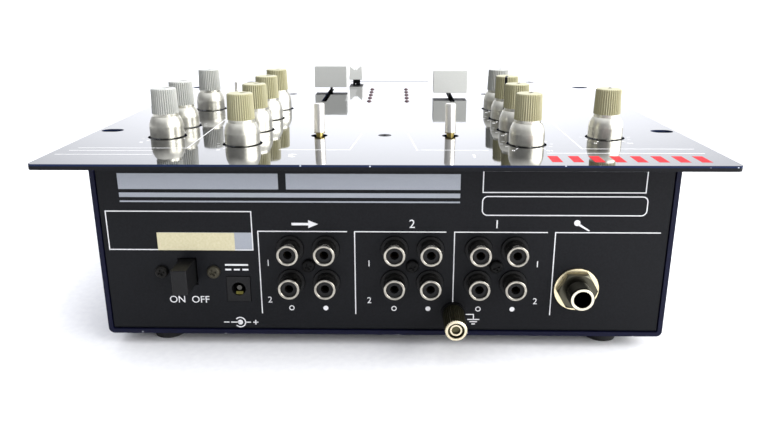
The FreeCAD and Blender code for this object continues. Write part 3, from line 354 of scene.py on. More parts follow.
def handled_cap(name, flute_shade, dark, light):
    """A knob cap with painted shade: darker in the flutes and corners that ambient occlusion finds, lighter
    on the ribs.
    """
    material, shader, place = start_material(name)
    normal = grain(material, place, size=0.5, depth=0.008)[1]
    # Painted shade: ambient occlusion picks the first colour for the flutes and corners.
    corners = add_node(material, "ShaderNodeAmbientOcclusion", {"Distance": 0.9 * MM}, samples=6)
    tone = add_node(material, "ShaderNodeValToRGB", {"Fac": corners.outputs["AO"]},
                    [(0.35, flute_shade), (0.7, dark), (1.0, light)])
    feed(material, shader, {
        "Base Color": tone.outputs["Color"], "Roughness": 0.42, "Subsurface Weight": 0.12,
        "Subsurface Radius": (1.2 * MM, 1.0 * MM, 0.7 * MM), "Normal": normal})
    return material


def tinted_lens():
    """The lens of a small light that is off: deep red, glossy, with the grain of a diffusing plastic."""
    material, shader, place = start_material("tinted_lens")
    cloud, normal = grain(material, place, size=0.3, depth=0.004)
    tone = add_node(material, "ShaderNodeValToRGB", {"Fac": cloud}, [(0.3, "#2a0a14"), (0.7, "#4a1420")])
    feed(material, shader, {
        "Base Color": tone.outputs["Color"], "Roughness": 0.18, "Coat Weight": 0.5, "Normal": normal})
    return material


print("plastics and rubber are ready")

# %% [markdown]
# ## Plated, turned and polished metal
# The skirts are turned and metallised, the levers are chromed, and the sockets, nuts and the ground
# terminal are old nickel. The sleeves and the ground terminal carry painted light: a dark painted shade on
# their sides and a painted highlight on their end faces and outer rims. The levers are worn near their foot.
# These could be painted on, but each piece tells by its own shape where they fall: at an end face, at an
# outer rim or near the foot of a lever. So a coordinate does it.

# %% Plating and turned silver
PLATING_BLOTCH = 1.6
SKIRT_BLOTCH = 2.5
# Real turning marks are far finer. These are drawn wide enough to show as a soft band of light.
RING_SPACING = 3.14
# Blender's wave pattern repeats this many times in one unit of its scale.
WAVE_NODE_TURNS = 20 / (2 * math.pi)


def plated_metal(name, dark, light, roughness):
    """Plating: bright metal whose tone drifts a little where fingers and air have dulled it."""
    material, shader, place = start_material(name)
    cloud, normal = grain(material, place, size=PLATING_BLOTCH, depth=0.002)
    tone = add_node(material, "ShaderNodeValToRGB", {"Fac": cloud}, [(0.3, dark), (0.7, light)])
    feed(material, shader, {
        "Base Color": tone.outputs["Color"], "Metallic": 1.0, "Roughness": roughness, "Normal": normal})
    return material


def turned_satin_silver():
    """Metallised skirt: satin silver with rings left by turning."""
    material, shader, place = start_material("turned_satin_silver")
    rings = add_node(material, "ShaderNodeTexWave", {
        "Vector": place, "Scale": scale_for(RING_SPACING) / WAVE_NODE_TURNS, "Distortion": 1.0},
        bands_direction="Z")
    bump = add_node(material, "ShaderNodeBump", {"Height": rings.outputs["Fac"], "Distance": 0.0015 * MM})
    cloud = add_node(material, "ShaderNodeTexNoise", {
        "Vector": place, "Scale": scale_for(SKIRT_BLOTCH), "Detail": 3.0})
    tone = add_node(material, "ShaderNodeValToRGB", {"Fac": cloud.outputs["Fac"]},
                    [(0.3, "#c3c1b7"), (0.7, "#d6d4c8")])
    feed(material, shader, {
        "Base Color": tone.outputs["Color"], "Metallic": 1.0, "Roughness": 0.36,
        "Normal": bump.outputs["Normal"]})
    return material


print("plating blotches are", PLATING_BLOTCH, "mm and turning rings", RING_SPACING, "mm wide")

# %% Nickel with painted light
NICKEL_GRAIN = 1.2
NICKEL_DEPTH = 0.003
# The painted highlight on a rim fades in from 0.7 mm before its end and is full over the last 0.4 mm.
RIM_START = 0.7 * MM
RIM_PAINTED_HIGHLIGHT = 0.4 * MM


def rubbed_nickel():
    """Old nickel with painted light: a dark painted shade along the sides and threads, and a painted
    highlight on the end faces, set by which way each face looks.
    """
    material, shader, place = start_material("rubbed_nickel")
    normal = grain(material, place, size=NICKEL_GRAIN, depth=NICKEL_DEPTH)[1]
    facing_out = add_node(material, "ShaderNodeTexCoord", {}).outputs["Normal"]
    either_end = add_node(material, "ShaderNodeVectorMath", {0: facing_out}, operation="ABSOLUTE")
    painted_end_highlight = add_node(material, "ShaderNodeVectorMath", {
        0: either_end.outputs["Vector"], 1: Vector((0, 1, 0))}, operation="DOT_PRODUCT")
    # Painted light: faces that look along y get a painted highlight, and the sides and threads get a painted
    # shade.
    tone = add_node(material, "ShaderNodeValToRGB", {"Fac": painted_end_highlight.outputs["Value"]},
                    [(0.75, "#262520"), (0.97, "#d6cfba")])
    feed(material, shader, {
        "Base Color": tone.outputs["Color"], "Metallic": 1.0, "Roughness": 0.26, "Normal": normal})
    return material


def rubbed_rim(name, end):
    """Old nickel with painted light: a dull brown painted shade on the piece, and a painted highlight on its
    outermost rim, which ends at this depth.
    """
    material, shader, place = start_material(name)
    normal = grain(material, place, size=NICKEL_GRAIN, depth=NICKEL_DEPTH)[1]
    depth = add_node(material, "ShaderNodeSeparateXYZ", {"Vector": place}).outputs["Y"]
    rim = add_node(material, "ShaderNodeMapRange", {
        "Value": depth, "From Min": end - RIM_START, "From Max": end - RIM_PAINTED_HIGHLIGHT})
    # Painted light: the rim next to the end gets a painted highlight, and the rest a brown painted shade.
    tone = add_node(material, "ShaderNodeValToRGB", {"Fac": rim.outputs["Result"]},
                    [(0.0, "#56533f"), (1.0, "#ddd3b8")])
    feed(material, shader, {
        "Base Color": tone.outputs["Color"], "Metallic": 1.0, "Roughness": 0.45, "Normal": normal})
    return material


# The bright rim is a painted highlight.
print("rims are rubbed bright over the last", round(RIM_PAINTED_HIGHLIGHT / MM, 2), "mm")

# %% Washers and nuts
WASHER_THICKNESS = 1.15 * MM
REAR_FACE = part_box("rear_panel")[1][1]
WASHER_TOP = REAR_FACE + WASHER_THICKNESS
WASHER_BLEND = 0.05 * MM


def washer_and_nut():
    """Jack hardware: a bright pale-gold washer on the panel, and a dull grey nut that stands out."""
    material, shader, place = start_material("washer_and_nut_nickel")
    normal = grain(material, place, size=NICKEL_GRAIN, depth=NICKEL_DEPTH)[1]
    either_end = add_node(material, "ShaderNodeVectorMath", {0: place}, operation="ABSOLUTE")
    outward = add_node(material, "ShaderNodeSeparateXYZ", {"Vector": either_end.outputs["Vector"]})
    nut = add_node(material, "ShaderNodeMapRange", {
        "Value": outward.outputs["Y"],
        "From Min": WASHER_TOP - WASHER_BLEND, "From Max": WASHER_TOP + WASHER_BLEND})
    tone = add_node(material, "ShaderNodeValToRGB", {"Fac": nut.outputs["Result"]},
                    [(0.0, "#e6d9b4"), (1.0, "#4a483e")])
    feed(material, shader, {
        "Base Color": tone.outputs["Color"], "Metallic": 1.0, "Roughness": 0.28, "Normal": normal})
    return material


print("washers end", round(WASHER_TOP / MM, 2), "mm from the middle of the case")

# %% Contacts and levers
POWER_SOCKET_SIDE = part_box("dc_jack")[0][0]
PLATE_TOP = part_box("face_panel")[1][2]
LEVER_WORN = 1.2 * MM
LEVER_BRIGHT = 1.8 * MM
LEVER_SMUDGE = 3.0


def socket_contacts():
    """Contacts deep in the sockets, with painted shade: the brass painted nearly black, and the nickel pin
    of the power socket painted dim grey.
    """
    material, shader, place = start_material("contact_plating_painted_shade")
    normal = grain(material, place, size=0.8, depth=0.003)[1]
    across = add_node(material, "ShaderNodeSeparateXYZ", {"Vector": place}).outputs["X"]
    pin = add_node(material, "ShaderNodeMath", {0: across, 1: POWER_SOCKET_SIDE}, operation="GREATER_THAN")
    # Painted shade: both colours are darkened for the shade deep in the sockets.
    tone = add_node(material, "ShaderNodeMixRGB", {
        "Fac": pin.outputs["Value"], "Color1": "#20180d", "Color2": "#4b4a47"})
    feed(material, shader, {
        "Base Color": tone.outputs["Color"], "Metallic": 1.0, "Roughness": 0.34, "Normal": normal})
    return material


def worn_chrome():
    """Chrome on a lever, worn through to the brass where it comes out of its bush."""
    material, shader, place = start_material("worn_chrome")
    height = add_node(material, "ShaderNodeSeparateXYZ", {"Vector": place}).outputs["Z"]
    above = add_node(material, "ShaderNodeMapRange", {
        "Value": height, "From Min": PLATE_TOP + LEVER_WORN, "From Max": PLATE_TOP + LEVER_BRIGHT})
    tone = add_node(material, "ShaderNodeValToRGB", {"Fac": above.outputs["Result"]},
                    [(0.0, "#9a8a52"), (1.0, "#f2efe8")])
    smudges = add_node(material, "ShaderNodeTexNoise", {
        "Vector": place, "Scale": scale_for(LEVER_SMUDGE), "Detail": 3.0})
    sheen = add_node(material, "ShaderNodeMapRange", {
        "Value": smudges.outputs["Fac"], "To Min": 0.32, "To Max": 0.42})
    feed(material, shader, {
        "Base Color": tone.outputs["Color"], "Metallic": 1.0, "Roughness": sheen.outputs["Result"]})
    return material


print("levers are worn up to", round((PLATE_TOP + LEVER_WORN) / MM, 1), "mm above the floor")

# %% Frames and boards
CRYSTAL_SIZE = 4.0
TRACK_SPACING = 8.0


def zinc_plated_sheet():
    """Zinc on pressed frames: grey metal with the patchwork of large crystals."""
    material, shader, place = start_material("zinc_plated_sheet")
    crystals = add_node(material, "ShaderNodeTexVoronoi", {
        "Vector": place, "Scale": scale_for(CRYSTAL_SIZE)})
    tone = add_node(material, "ShaderNodeValToRGB", {"Fac": crystals.outputs["Color"]},
                    [(0.2, "#8f9295"), (0.8, "#b4b7b8")])
    feed(material, shader, {"Base Color": tone.outputs["Color"], "Metallic": 1.0, "Roughness": 0.42})
    return material


def solder_masked_board():
    """Circuit board: green mask over copper tracks that show as paler lines."""
    material, shader, place = start_material("solder_masked_board")
    tracks = add_node(material, "ShaderNodeTexBrick", {
        "Vector": place, "Scale": scale_for(TRACK_SPACING), "Mortar Size": 0.04,
        "Color1": "#123c20", "Color2": "#0f351c", "Mortar": "#2c6b3a"})
    feed(material, shader, {"Base Color": tracks.outputs["Color"], "Roughness": 0.3})
    return material


print("zinc crystals are", CRYSTAL_SIZE, "mm and board tracks", TRACK_SPACING, "mm apart")

# %% [markdown]
# ## A finish for every piece
# The parts list names a slot for each piece, so one loop can dress them all. Names could be matched one by
# one instead, but then a new piece would be left bare. A few pieces differ from the rest of their slot in
# colour or coat, some of them by painted light and shade, and get a finish of their own after the loop.

# %% Give every piece its finish
nickel_painted_dark_sides = rubbed_nickel()
finishes = {
    "black_painted_steel": powder_coated_steel("black_powder_coat", "#0c0d10", "#121316"),
    "gloss_black_face": gloss_lacquer(),
    "black_rubber": moulded_plastic("moulded_rubber", "#101010", "#1b1b1b", 0.85, grain_size=0.8),
    "black_zinc_screws": black_zinc_steel(),
    "circuit_board": solder_masked_board(),
    "steel_standoffs": plated_metal("turned_steel", "#9fa1a3", "#b8babb", 0.3),
    "zinc_plated_steel": zinc_plated_sheet(),
    "polished_rails": plated_metal("ground_steel_rod", "#b9babb", "#cfd0d0", 0.1),
    "silver_skirt": turned_satin_silver(),
    "black_plastic": moulded_plastic("black_moulding", "#0b0b0c", "#141415", 0.48, shine=0.2),
    "fader_cap_grey": moulded_plastic("satin_grey_moulding", "#cdcec9", "#d6d7d2", 0.4),
    "chrome_lever": worn_chrome(),
    "red_light": tinted_lens(),
    "nickel_plated": plated_metal("nickel_plating", "#85817a", "#a9a59a", 0.15),
    "brass_contact": plated_metal("dull_brass", "#57522a", "#716b37", 0.34),
    # The first colour of each cap is its painted shade in the flutes.
    "grey_cap": handled_cap("grey_cap_moulding", "#565752", "#969791", "#acada7"),
    "cream_cap": handled_cap("cream_cap_moulding", "#514c36", "#898461", "#a4a07e"),
}
for subpart in frame["record"]["subparts"]:
    piece = nodes[subpart["node"]]
    piece.data.materials.clear()
    piece.data.materials.append(finishes[subpart["material_slot"]])

# %% Pieces with a finish of their own
own_finishes = {
    "base_shell": powder_coated_steel("navy_powder_coat", "#0a0b1c", "#10122a"),
    "jack_sleeves": nickel_painted_dark_sides,
    "jack_nuts": washer_and_nut(),
    "ground_washer": finishes["black_zinc_screws"],
    "socket_contacts": socket_contacts(),
    # The ch2 cap is a darker grey than the ch1 cap.
    "ch2_fader_cap": moulded_plastic("darker_grey_moulding", "#b4b5b1", "#bcbdb9", 0.4),
}
# The ground nut and stud get a painted shade on their sides and a painted highlight on their end rims.
for name in ("ground_thumb_nut", "ground_stud"):
    own_finishes[name] = rubbed_rim("rubbed_" + name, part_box(name)[1][1])
for name, finish in own_finishes.items():
    nodes[name].data.materials[0] = finish
print("own finishes on", len(own_finishes), "pieces")

# %% [markdown]
# ## Broken edges
# Sheared sheet and moulded caps never end in a perfect corner: a small round catches a thin line of light.
# The round could be cut in the solid, but a bevel modifier keeps the solid as it is and costs nothing to
# change. The vertices along each edge are welded first, because a bevel needs faces that share their
# corners.

# %% Broken edges
WELD_DISTANCE = 0.001 * MM
SHEET_EDGE = 0.2
CAP_EDGE = 0.5
RIM_EDGE = 0.35


def break_edges(name, width):
    """Round the sharp edges of one piece by a width in millimetres."""
    weld = nodes[name].modifiers.new("weld", "WELD")
    weld.merge_threshold = WELD_DISTANCE
    bevel = nodes[name].modifiers.new("broken_edge", "BEVEL")
    bevel.width = width * MM
    bevel.segments = 2
    bevel.limit_method = "ANGLE"
    bevel.angle_limit = math.radians(40)
    bevel.harden_normals = True


for name in ("face_panel", "top_deck", "base_shell"):
    break_edges(name, SHEET_EDGE)
for name in ("ch1_fader_cap", "ch2_fader_cap", "crossfader_cap"):
    break_edges(name, CAP_EDGE)
for name in ("rca_shells", "jack_sleeves", "jack_nuts", "ground_thumb_nut"):
    break_edges(name, RIM_EDGE)
print("sheet edges rounded by", SHEET_EDGE, "mm, caps by", CAP_EDGE, "mm and rims by", RIM_EDGE, "mm")

# %% [markdown]
# ## Shapes of ink
# All the marks are screen printed, so they are thin flat shapes of one colour that lie on the panel. A
# texture could hold them, but edges drawn as geometry stay crisp at any distance. Each mark is a polygon on
# the flat of its panel, with u to the right and v up, in millimetres.

# %% Shapes on a flat panel
LINE = 0.4
FINE_LINE = 0.35
BOLD_LINE = 0.7
SHARPEST_MITRE = 0.3


def bar(u0, v0, u1, v1):
    """A filled rectangle."""
    return [(u0, v0), (u1, v0), (u1, v1), (u0, v1)]


def circle(centre, radius, start=0.0, sweep=360.0, count=32):
    """Points round a circle or along an arc, in degrees anticlockwise from the u axis."""
    steps = count if sweep == 360.0 else count + 1
    turns = [math.radians(start + sweep * i / count) for i in range(steps)]
    return [(centre[0] + radius * math.cos(t), centre[1] + radius * math.sin(t)) for t in turns]


def stroke(points, width=LINE, closed=False):
    """A line of real width along the points, with mitred corners, as one quad per stretch."""
    ends = [Vector(p) for p in points]
    count = len(ends)
    sides = []
    for i, point in enumerate(ends):
        ways = []
        if closed or i > 0:
            ways.append((point - ends[i - 1]).normalized())
        if closed or i < count - 1:
            ways.append((ends[(i + 1) % count] - point).normalized())
        across = sum(ways, Vector((0, 0))).normalized().orthogonal()
        reach = width / 2 / max(SHARPEST_MITRE, across.dot(ways[0].orthogonal()))
        sides.append((point + across * reach, point - across * reach))
    quads = []
    for i in range(count if closed else count - 1):
        after = (i + 1) % count
        quads.append([sides[i][0], sides[i][1], sides[after][1], sides[after][0]])
    return quads


def frame_box(u0, v0, u1, v1):
    """A rectangle drawn as an outline."""
    return stroke(bar(u0, v0, u1, v1), closed=True)


def clock_way(angle):
    """The way that an angle in degrees clockwise from the v axis points."""
    return Vector((math.sin(math.radians(angle)), math.cos(math.radians(angle))))


print("lines are", FINE_LINE, LINE, "or", BOLD_LINE, "mm wide")

# %% [markdown]
# ## From shapes to ink
# A layer of ink gathers all the marks of one colour on one panel and raises them by the thickness of the
# ink. Numbers come from the font that is built into Blender. Text objects could stay as they are, but
# turned into mesh and joined with the marks they make one clean piece that rides on the case.

# %% Words and pieces
CAPITAL_SHARE = 0.7


def add_words(shape, words):
    """Set short generic words and numbers into a layer, each given by its text, middle and height."""
    for text, u, v, height in words:
        curve = bpy.data.curves.new("words", "FONT")
        curve.body = text
        curve.size = height * MM / CAPITAL_SHARE
        curve.align_x = "CENTER"
        curve.align_y = "CENTER"
        setter = bpy.data.objects.new("words", curve)
        mesh = bpy.data.meshes.new_from_object(setter)
        mesh.transform(Matrix.Translation((u * MM, v * MM, 0)))
        shape.from_mesh(mesh)
        bpy.data.objects.remove(setter)
        bpy.data.meshes.remove(mesh)
        bpy.data.curves.remove(curve)


def add_piece(name, shape, matrix, material, body):
    """Turn a finished shape into a piece of the mixer that rides on a body."""
    bmesh.ops.recalc_face_normals(shape, faces=shape.faces)
    mesh = bpy.data.meshes.new(name)
    shape.to_mesh(mesh)
    shape.free()
    mesh.transform(matrix)
    mesh.materials.append(material)
    piece = bpy.data.objects.new(name, mesh)
    bpy.context.scene.collection.objects.link(piece)
    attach(piece, body)
    return piece


print("capitals take", CAPITAL_SHARE, "of the size of the font")

# %% Layers of ink
INK_THICKNESS = 0.03
INK_SUNK = 0.01


def print_layer(name, panel, material, faces, words=(), thickness=INK_THICKNESS):
    """One colour of ink on one panel: polygons and words, raised by the thickness of the ink."""
    shape = bmesh.new()
    for face in faces:
        shape.faces.new([shape.verts.new((u * MM, v * MM, 0)) for u, v in face])
    add_words(shape, words)
    bmesh.ops.remove_doubles(shape, verts=shape.verts, dist=WELD_DISTANCE)
    raised = bmesh.ops.extrude_face_region(shape, geom=list(shape.faces))
    lifted = [v for v in raised["geom"] if isinstance(v, bmesh.types.BMVert)]
    bmesh.ops.translate(shape, verts=lifted, vec=(0, 0, (thickness + INK_SUNK) * MM))
    sunk_panel = panel @ Matrix.Translation((0, 0, -INK_SUNK * MM))
    return add_piece(name, shape, sunk_panel, material, "chassis")


def screen_ink(name, dark, light, shine=0.25):
    """Screen ink: a matt opaque colour with the faint mottle of the mesh it was pushed through."""
    return moulded_plastic(name, dark, light, 0.5, grain_size=0.3, shine=shine)


white_ink = screen_ink("white_screen_ink", "#e9e9e7", "#f6f6f4")
# Grey print, made darker still as painted shade under the plate's overhang.
grey_ink_with_painted_shade = screen_ink("grey_screen_ink_painted_shade", "#8b8f97", "#989ca3")
# Painted shade: the rear marks use a darker copy of the white ink, for the shade on the rear panel.
rear_white_ink_shaded = screen_ink("white_screen_ink_painted_shade", "#cbcbcd", "#d8d8d9")
red_ink = screen_ink("red_screen_ink", "#b3161f", "#c41d26", shine=0.08)
black_ink = screen_ink("black_pad_ink", "#070707", "#0d0d0d")
print("ink is", INK_THICKNESS, "mm thick")

# %% [markdown]
# ## Where the printed panels are
# Each panel's u and v have to be laid on its real face. A panel could be found by casting a ray at it, but
# the box of its solid already gives the height of the plate and the depths of the rear and front, so one
# matrix per panel does it. Seen from behind, u runs against x.

# %% Printed panels
def middle(name):
    """The middle of a node's box, in millimetres."""
    low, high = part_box(name)
    return (Vector(low) + Vector(high)) / 2 / MM


FRONT_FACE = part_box("front_panel")[0][1]
plate = Matrix.Translation((0, 0, PLATE_TOP))
rear = Matrix(((-1, 0, 0, 0), (0, 0, 1, REAR_FACE), (0, 1, 0, 0), (0, 0, 0, 1)))
front = Matrix(((1, 0, 0, 0), (0, 0, -1, FRONT_FACE), (0, 1, 0, 0), (0, 0, 0, 1)))
print("plate at", round(PLATE_TOP / MM, 2), "rear at", round(REAR_FACE / MM, 2))
print("front at", round(FRONT_FACE / MM, 2))

# %% [markdown]
# ## Dials and ladders on the plate
# A ring of ticks runs round each knob and a ladder beside each fader. They could be drawn one by one, but
# each ring spans the three hundred degrees of a knob's turn, with its gap at the rear, and the ladders
# follow the faders' travel, so they are worked out from the place of each control.

# %% Dials
KNOBS = [name[len("knob_cap_"):] for name in nodes if name.startswith("knob_cap_")]
TURN = 300
STEPS = 10
# The middle of each ring, in degrees clockwise from the rear.
DIAL_MIDDLE = 180
TICK_START = 9.3
TICK_END = 10.6
LONG_TICK_END = 11.4
DIAL_NUMBERS = 14.0
NUMBER_HEIGHT = 1.9

face_marks = []
face_words = []
for knob in KNOBS:
    centre = middle("knob_cap_" + knob).xy
    for step in range(STEPS + 1):
        far = LONG_TICK_END if step in (0, STEPS // 2, STEPS) else TICK_END
        way = clock_way(DIAL_MIDDLE + TURN * (step / STEPS - 0.5))
        face_marks += stroke([centre + way * TICK_START, centre + way * far], FINE_LINE)
    for text, angle in (("0", DIAL_MIDDLE - TURN / 2), ("10", DIAL_MIDDLE + TURN / 2)):
        face_words.append((text, *(centre + clock_way(angle) * DIAL_NUMBERS), NUMBER_HEIGHT))
print("dials have", len(face_marks), "marks")

# %% Ladders
FADER_MIDDLE = -39
FADER_STEP = 4.5
LADDER_START = 11.5
LADDER_END = 16.0
LADDER_NUMBERS = 18.5
CROSS_LINE = -103
CROSS_TICK_START = 10
CROSS_TICK_END = 13
LIGHT_NUMBERS = "-6", "-3", "0", "+3", "+6"
LIGHT_STEP = 12.4
LIGHT_NUMBER_HEIGHT = 2.2

for side in (-1, 1):
    slot = side * middle("ch2_fader_cap").x
    for step in range(STEPS + 1):
        v = FADER_MIDDLE + FADER_STEP * (step - STEPS / 2)
        face_marks += stroke([(slot - LADDER_END, v), (slot - LADDER_START, v)], FINE_LINE)
        face_marks += stroke([(slot + LADDER_START, v), (slot + LADDER_END, v)], FINE_LINE)
        if step % 2 == 0:
            face_words.append((str(step), slot + side * LADDER_NUMBERS, v, NUMBER_HEIGHT))

for step in range(STEPS + 1):
    u = FADER_STEP * (step - STEPS / 2)
    for near, far in ((CROSS_TICK_START, CROSS_TICK_END), (-CROSS_TICK_END, -CROSS_TICK_START)):
        face_marks += stroke([(u, CROSS_LINE + near), (u, CROSS_LINE + far)], FINE_LINE)

for row, text in enumerate(LIGHT_NUMBERS):
    v = FADER_MIDDLE + LIGHT_STEP * (row - len(LIGHT_NUMBERS) // 2)
    face_words.append((text, 0, v, LIGHT_NUMBER_HEIGHT))
print("dials and ladders have", len(face_marks), "marks")

# %% [markdown]
# ## Rules and blocks on the plate
# Thin rules gather the controls in groups, and a row of red blocks fills one rear corner. The rules of the
# two channels could be listed one by one, but they mirror each other, so one loop draws both sides. Numbers
# are read from the user's side, so they stay upright along v.

# %% Rules and blocks
SIDE_RULE = 109.5
SIDE_RULE_OUTER = 120
SIDE_RULE_INNER = 77
SIDE_RULE_END = {1: 19, -1: -12}
INPUT_RULE = 112.3
INPUT_RULE_OUTER = 40.5
INPUT_RULE_INNER = 13
INPUT_RULE_END = 10, 80.2
CHANNEL_OF = {1: "2", -1: "1"}
CHANNEL_NUMBER = 34, 122
CHANNEL_NUMBER_HEIGHT = 5
LONE_RULES = (((-62, 117.2), (-121, 117.2)), ((124, 121), (87, 121)), ((121.5, 114.2), (89, 114.2)))
RED_COUNT = 8
RED_START = -118
RED_STEP = 7.6
RED_WIDTH = 3.8
RED_FRONT = 122
RED_REAR = 131.8

for side in (-1, 1):
    outer = (side * SIDE_RULE_OUTER, SIDE_RULE)
    corner = (side * SIDE_RULE_INNER, SIDE_RULE)
    face_marks += stroke([outer, corner, (side * SIDE_RULE_INNER, SIDE_RULE_END[side])])
    outer = (side * INPUT_RULE_OUTER, INPUT_RULE)
    corner = (side * INPUT_RULE_INNER, INPUT_RULE)
    face_marks += stroke([outer, corner, (side * INPUT_RULE_END[0], INPUT_RULE_END[1])])
    face_words.append((CHANNEL_OF[side], side * CHANNEL_NUMBER[0], CHANNEL_NUMBER[1], CHANNEL_NUMBER_HEIGHT))
for rule in LONE_RULES:
    face_marks += stroke(rule)
print_layer("face_print_white", plate, white_ink, face_marks, face_words)

red_starts = [RED_START + RED_STEP * block for block in range(RED_COUNT)]
red_blocks = [bar(u, RED_FRONT, u + RED_WIDTH, RED_REAR) for u in red_starts]
print_layer("face_print_red", plate, red_ink, red_blocks)
print("plate has", len(face_marks), "marks,", len(face_words), "numbers and", len(red_blocks), "blocks")

# %% [markdown]
# ## Rules and frames on the rear
# The rear panel is ruled into groups, one for each block of sockets. Above them are plain grey stripes, two
# empty frames and a ruled box for a paper label. All of these could be drawn in a vector program and
# brought in, but they are straight lines and bars on one flat, so a few short lists of places are simpler.
# Here u runs to the right as the panel is seen.

# %% Rules and frames on the rear
RULE_TOP = 49.5
RULE_FOOT = 14.5
SHORT_RULE_FOOT = 17.9
GROUPS = (
    (-48.8, -14.0, RULE_FOOT),
    (-11.1, 24.5, RULE_FOOT),
    (27.7, 63.6, SHORT_RULE_FOOT),
    (66.6, 106.9, RULE_FOOT),
)
LABEL_BOX = -107.7, 41.7, -51.1, 57.5
LABEL_FIELD = -88.0, 41.9, -51.3, 48.9
UPPER_FRAME = 38.0, 65.5, 99.5, 73.9
ROUND_CENTRES = (98.6, 61.9), (40.0, 61.9), (40.0, 58.4), (98.6, 58.4)
ROUND_RADIUS = 2.0
QUARTER_STEPS = 6
STRIPES = (
    (-101.5, 66.4, -40.0, 72.6),
    (-37.0, 66.4, 29.4, 72.6),
    (-101.5, 63.2, 29.4, 65.0),
    (-101.5, 61.2, 29.4, 61.8),
)

rear_marks = []
for left, right, foot in GROUPS:
    rear_marks += stroke([(right, RULE_TOP), (left, RULE_TOP), (left, foot)])
rear_marks += frame_box(*LABEL_BOX)
rear_marks += frame_box(*UPPER_FRAME)
round_frame = []
for quarter, centre in enumerate(ROUND_CENTRES):
    round_frame += circle(centre, ROUND_RADIUS, 90 * quarter, 90.0, QUARTER_STEPS)
rear_marks += stroke(round_frame, closed=True)
grey_bars = [bar(*stripe) for stripe in (*STRIPES, LABEL_FIELD)]
print_layer("rear_print_grey", rear, grey_ink_with_painted_shade, grey_bars)
print("rear has", len(GROUPS), "groups and", len(grey_bars), "grey bars")

# %% [markdown]
# ## Signs on the rear
# Simple signs say what each socket is for: an arrow for the output, numbers for the channels and rows, a
# microphone, a ring and a dot for the two sides of a pair, the earth sign, and the signs of direct current
# and of a centre pin. Signs could come from a symbol font, but a few bars and arcs draw them at their real
# size.

# %% Signs over the groups and beside the sockets
ARROW_TAIL = -35.5
ARROW_NECK = -29.0
ARROW_TIP = -25.2
ARROW_V = 52.5
ARROW_HALF = 0.5
ARROW_HEAD_HALF = 1.6
GROUP_NUMBERS = (("2", 11.2), ("1", 43.9))
GROUP_NUMBER_V = 52.6
GROUP_NUMBER_HEIGHT = 3.4
MIC_HEAD = 74.6, 53.4
MIC_HEAD_RADIUS = 1.2
MIC_HANDLE = [(75.2, 52.3), (75.9, 52.9), (79.6, 50.4), (79.3, 50.0)]
ROW_NUMBERS_U = -45.4, -5.6, 60.4
ROW_NUMBERS = (("1", 36.2), ("2", 20.4))
ROW_NUMBER_HEIGHT = 2.6
RINGS_U = -36.8, 4.3, 37.9
DOTS_U = -23.1, 17.9, 51.5
PAIR_V = 17.0
RING_RADIUS = 0.9
DOT_RADIUS = 1.0
SMALL_ROUND = 20

rear_words = [(text, u, GROUP_NUMBER_V, GROUP_NUMBER_HEIGHT) for text, u in GROUP_NUMBERS]
rear_marks.append(bar(ARROW_TAIL, ARROW_V - ARROW_HALF, ARROW_NECK, ARROW_V + ARROW_HALF))
head_foot = (ARROW_NECK, ARROW_V - ARROW_HEAD_HALF)
head_top = (ARROW_NECK, ARROW_V + ARROW_HEAD_HALF)
rear_marks.append([head_foot, (ARROW_TIP, ARROW_V), head_top])
rear_marks.append(circle(MIC_HEAD, MIC_HEAD_RADIUS, count=SMALL_ROUND))
rear_marks.append(MIC_HANDLE)
for u in ROW_NUMBERS_U:
    rear_words += [(text, u, v, ROW_NUMBER_HEIGHT) for text, v in ROW_NUMBERS]
for u in RINGS_U:
    rear_marks += stroke(circle((u, PAIR_V), RING_RADIUS, count=SMALL_ROUND), FINE_LINE, closed=True)
for u in DOTS_U:
    rear_marks.append(circle((u, PAIR_V), DOT_RADIUS, count=SMALL_ROUND))
print("sockets have", len(rear_words), "numbers")

# %% Earth, power and switch signs
EARTH_U = 36.2
EARTH_V = 12.4
EARTH_STEM = 2.2
EARTH_LEAD = 3.2
EARTH_REACHES = 2.4, 1.5, 0.7
CURRENT_U = -62.6
CURRENT_V = 35.4
CURRENT_LENGTH = 9.2
CURRENT_ROW = 2.0
CURRENT_DASHES = 3
CURRENT_DASH = 2.4
CURRENT_STEP = 3.4
PIN_SIGN = -58.0, 10.5
PIN_RING_RADIUS = 2.1
PIN_RING_LINE = 0.45
PIN_DOT_RADIUS = 1.05
PIN_DASHES = ((-64.7, -62.5), (-61.8, -58.0), (-55.9, -53.7), (-52.8, -50.7))
PLUS_U = -51.75
PLUS_HALF = 1.0
SWITCH_WORDS = "ON  OFF", -77.9, 20.3, 2.9

stem_top = EARTH_V + EARTH_STEM
rear_marks += stroke([(EARTH_U - EARTH_LEAD, stem_top), (EARTH_U, stem_top), (EARTH_U, EARTH_V)])
for row, reach in enumerate(EARTH_REACHES):
    rear_marks += stroke([(EARTH_U - reach, EARTH_V - row), (EARTH_U + reach, EARTH_V - row)])

rear_marks += stroke([(CURRENT_U, CURRENT_V), (CURRENT_U + CURRENT_LENGTH, CURRENT_V)], BOLD_LINE)
dash_row = CURRENT_V - CURRENT_ROW
for dash in range(CURRENT_DASHES):
    u = CURRENT_U + CURRENT_STEP * dash
    rear_marks += stroke([(u, dash_row), (u + CURRENT_DASH, dash_row)], BOLD_LINE)

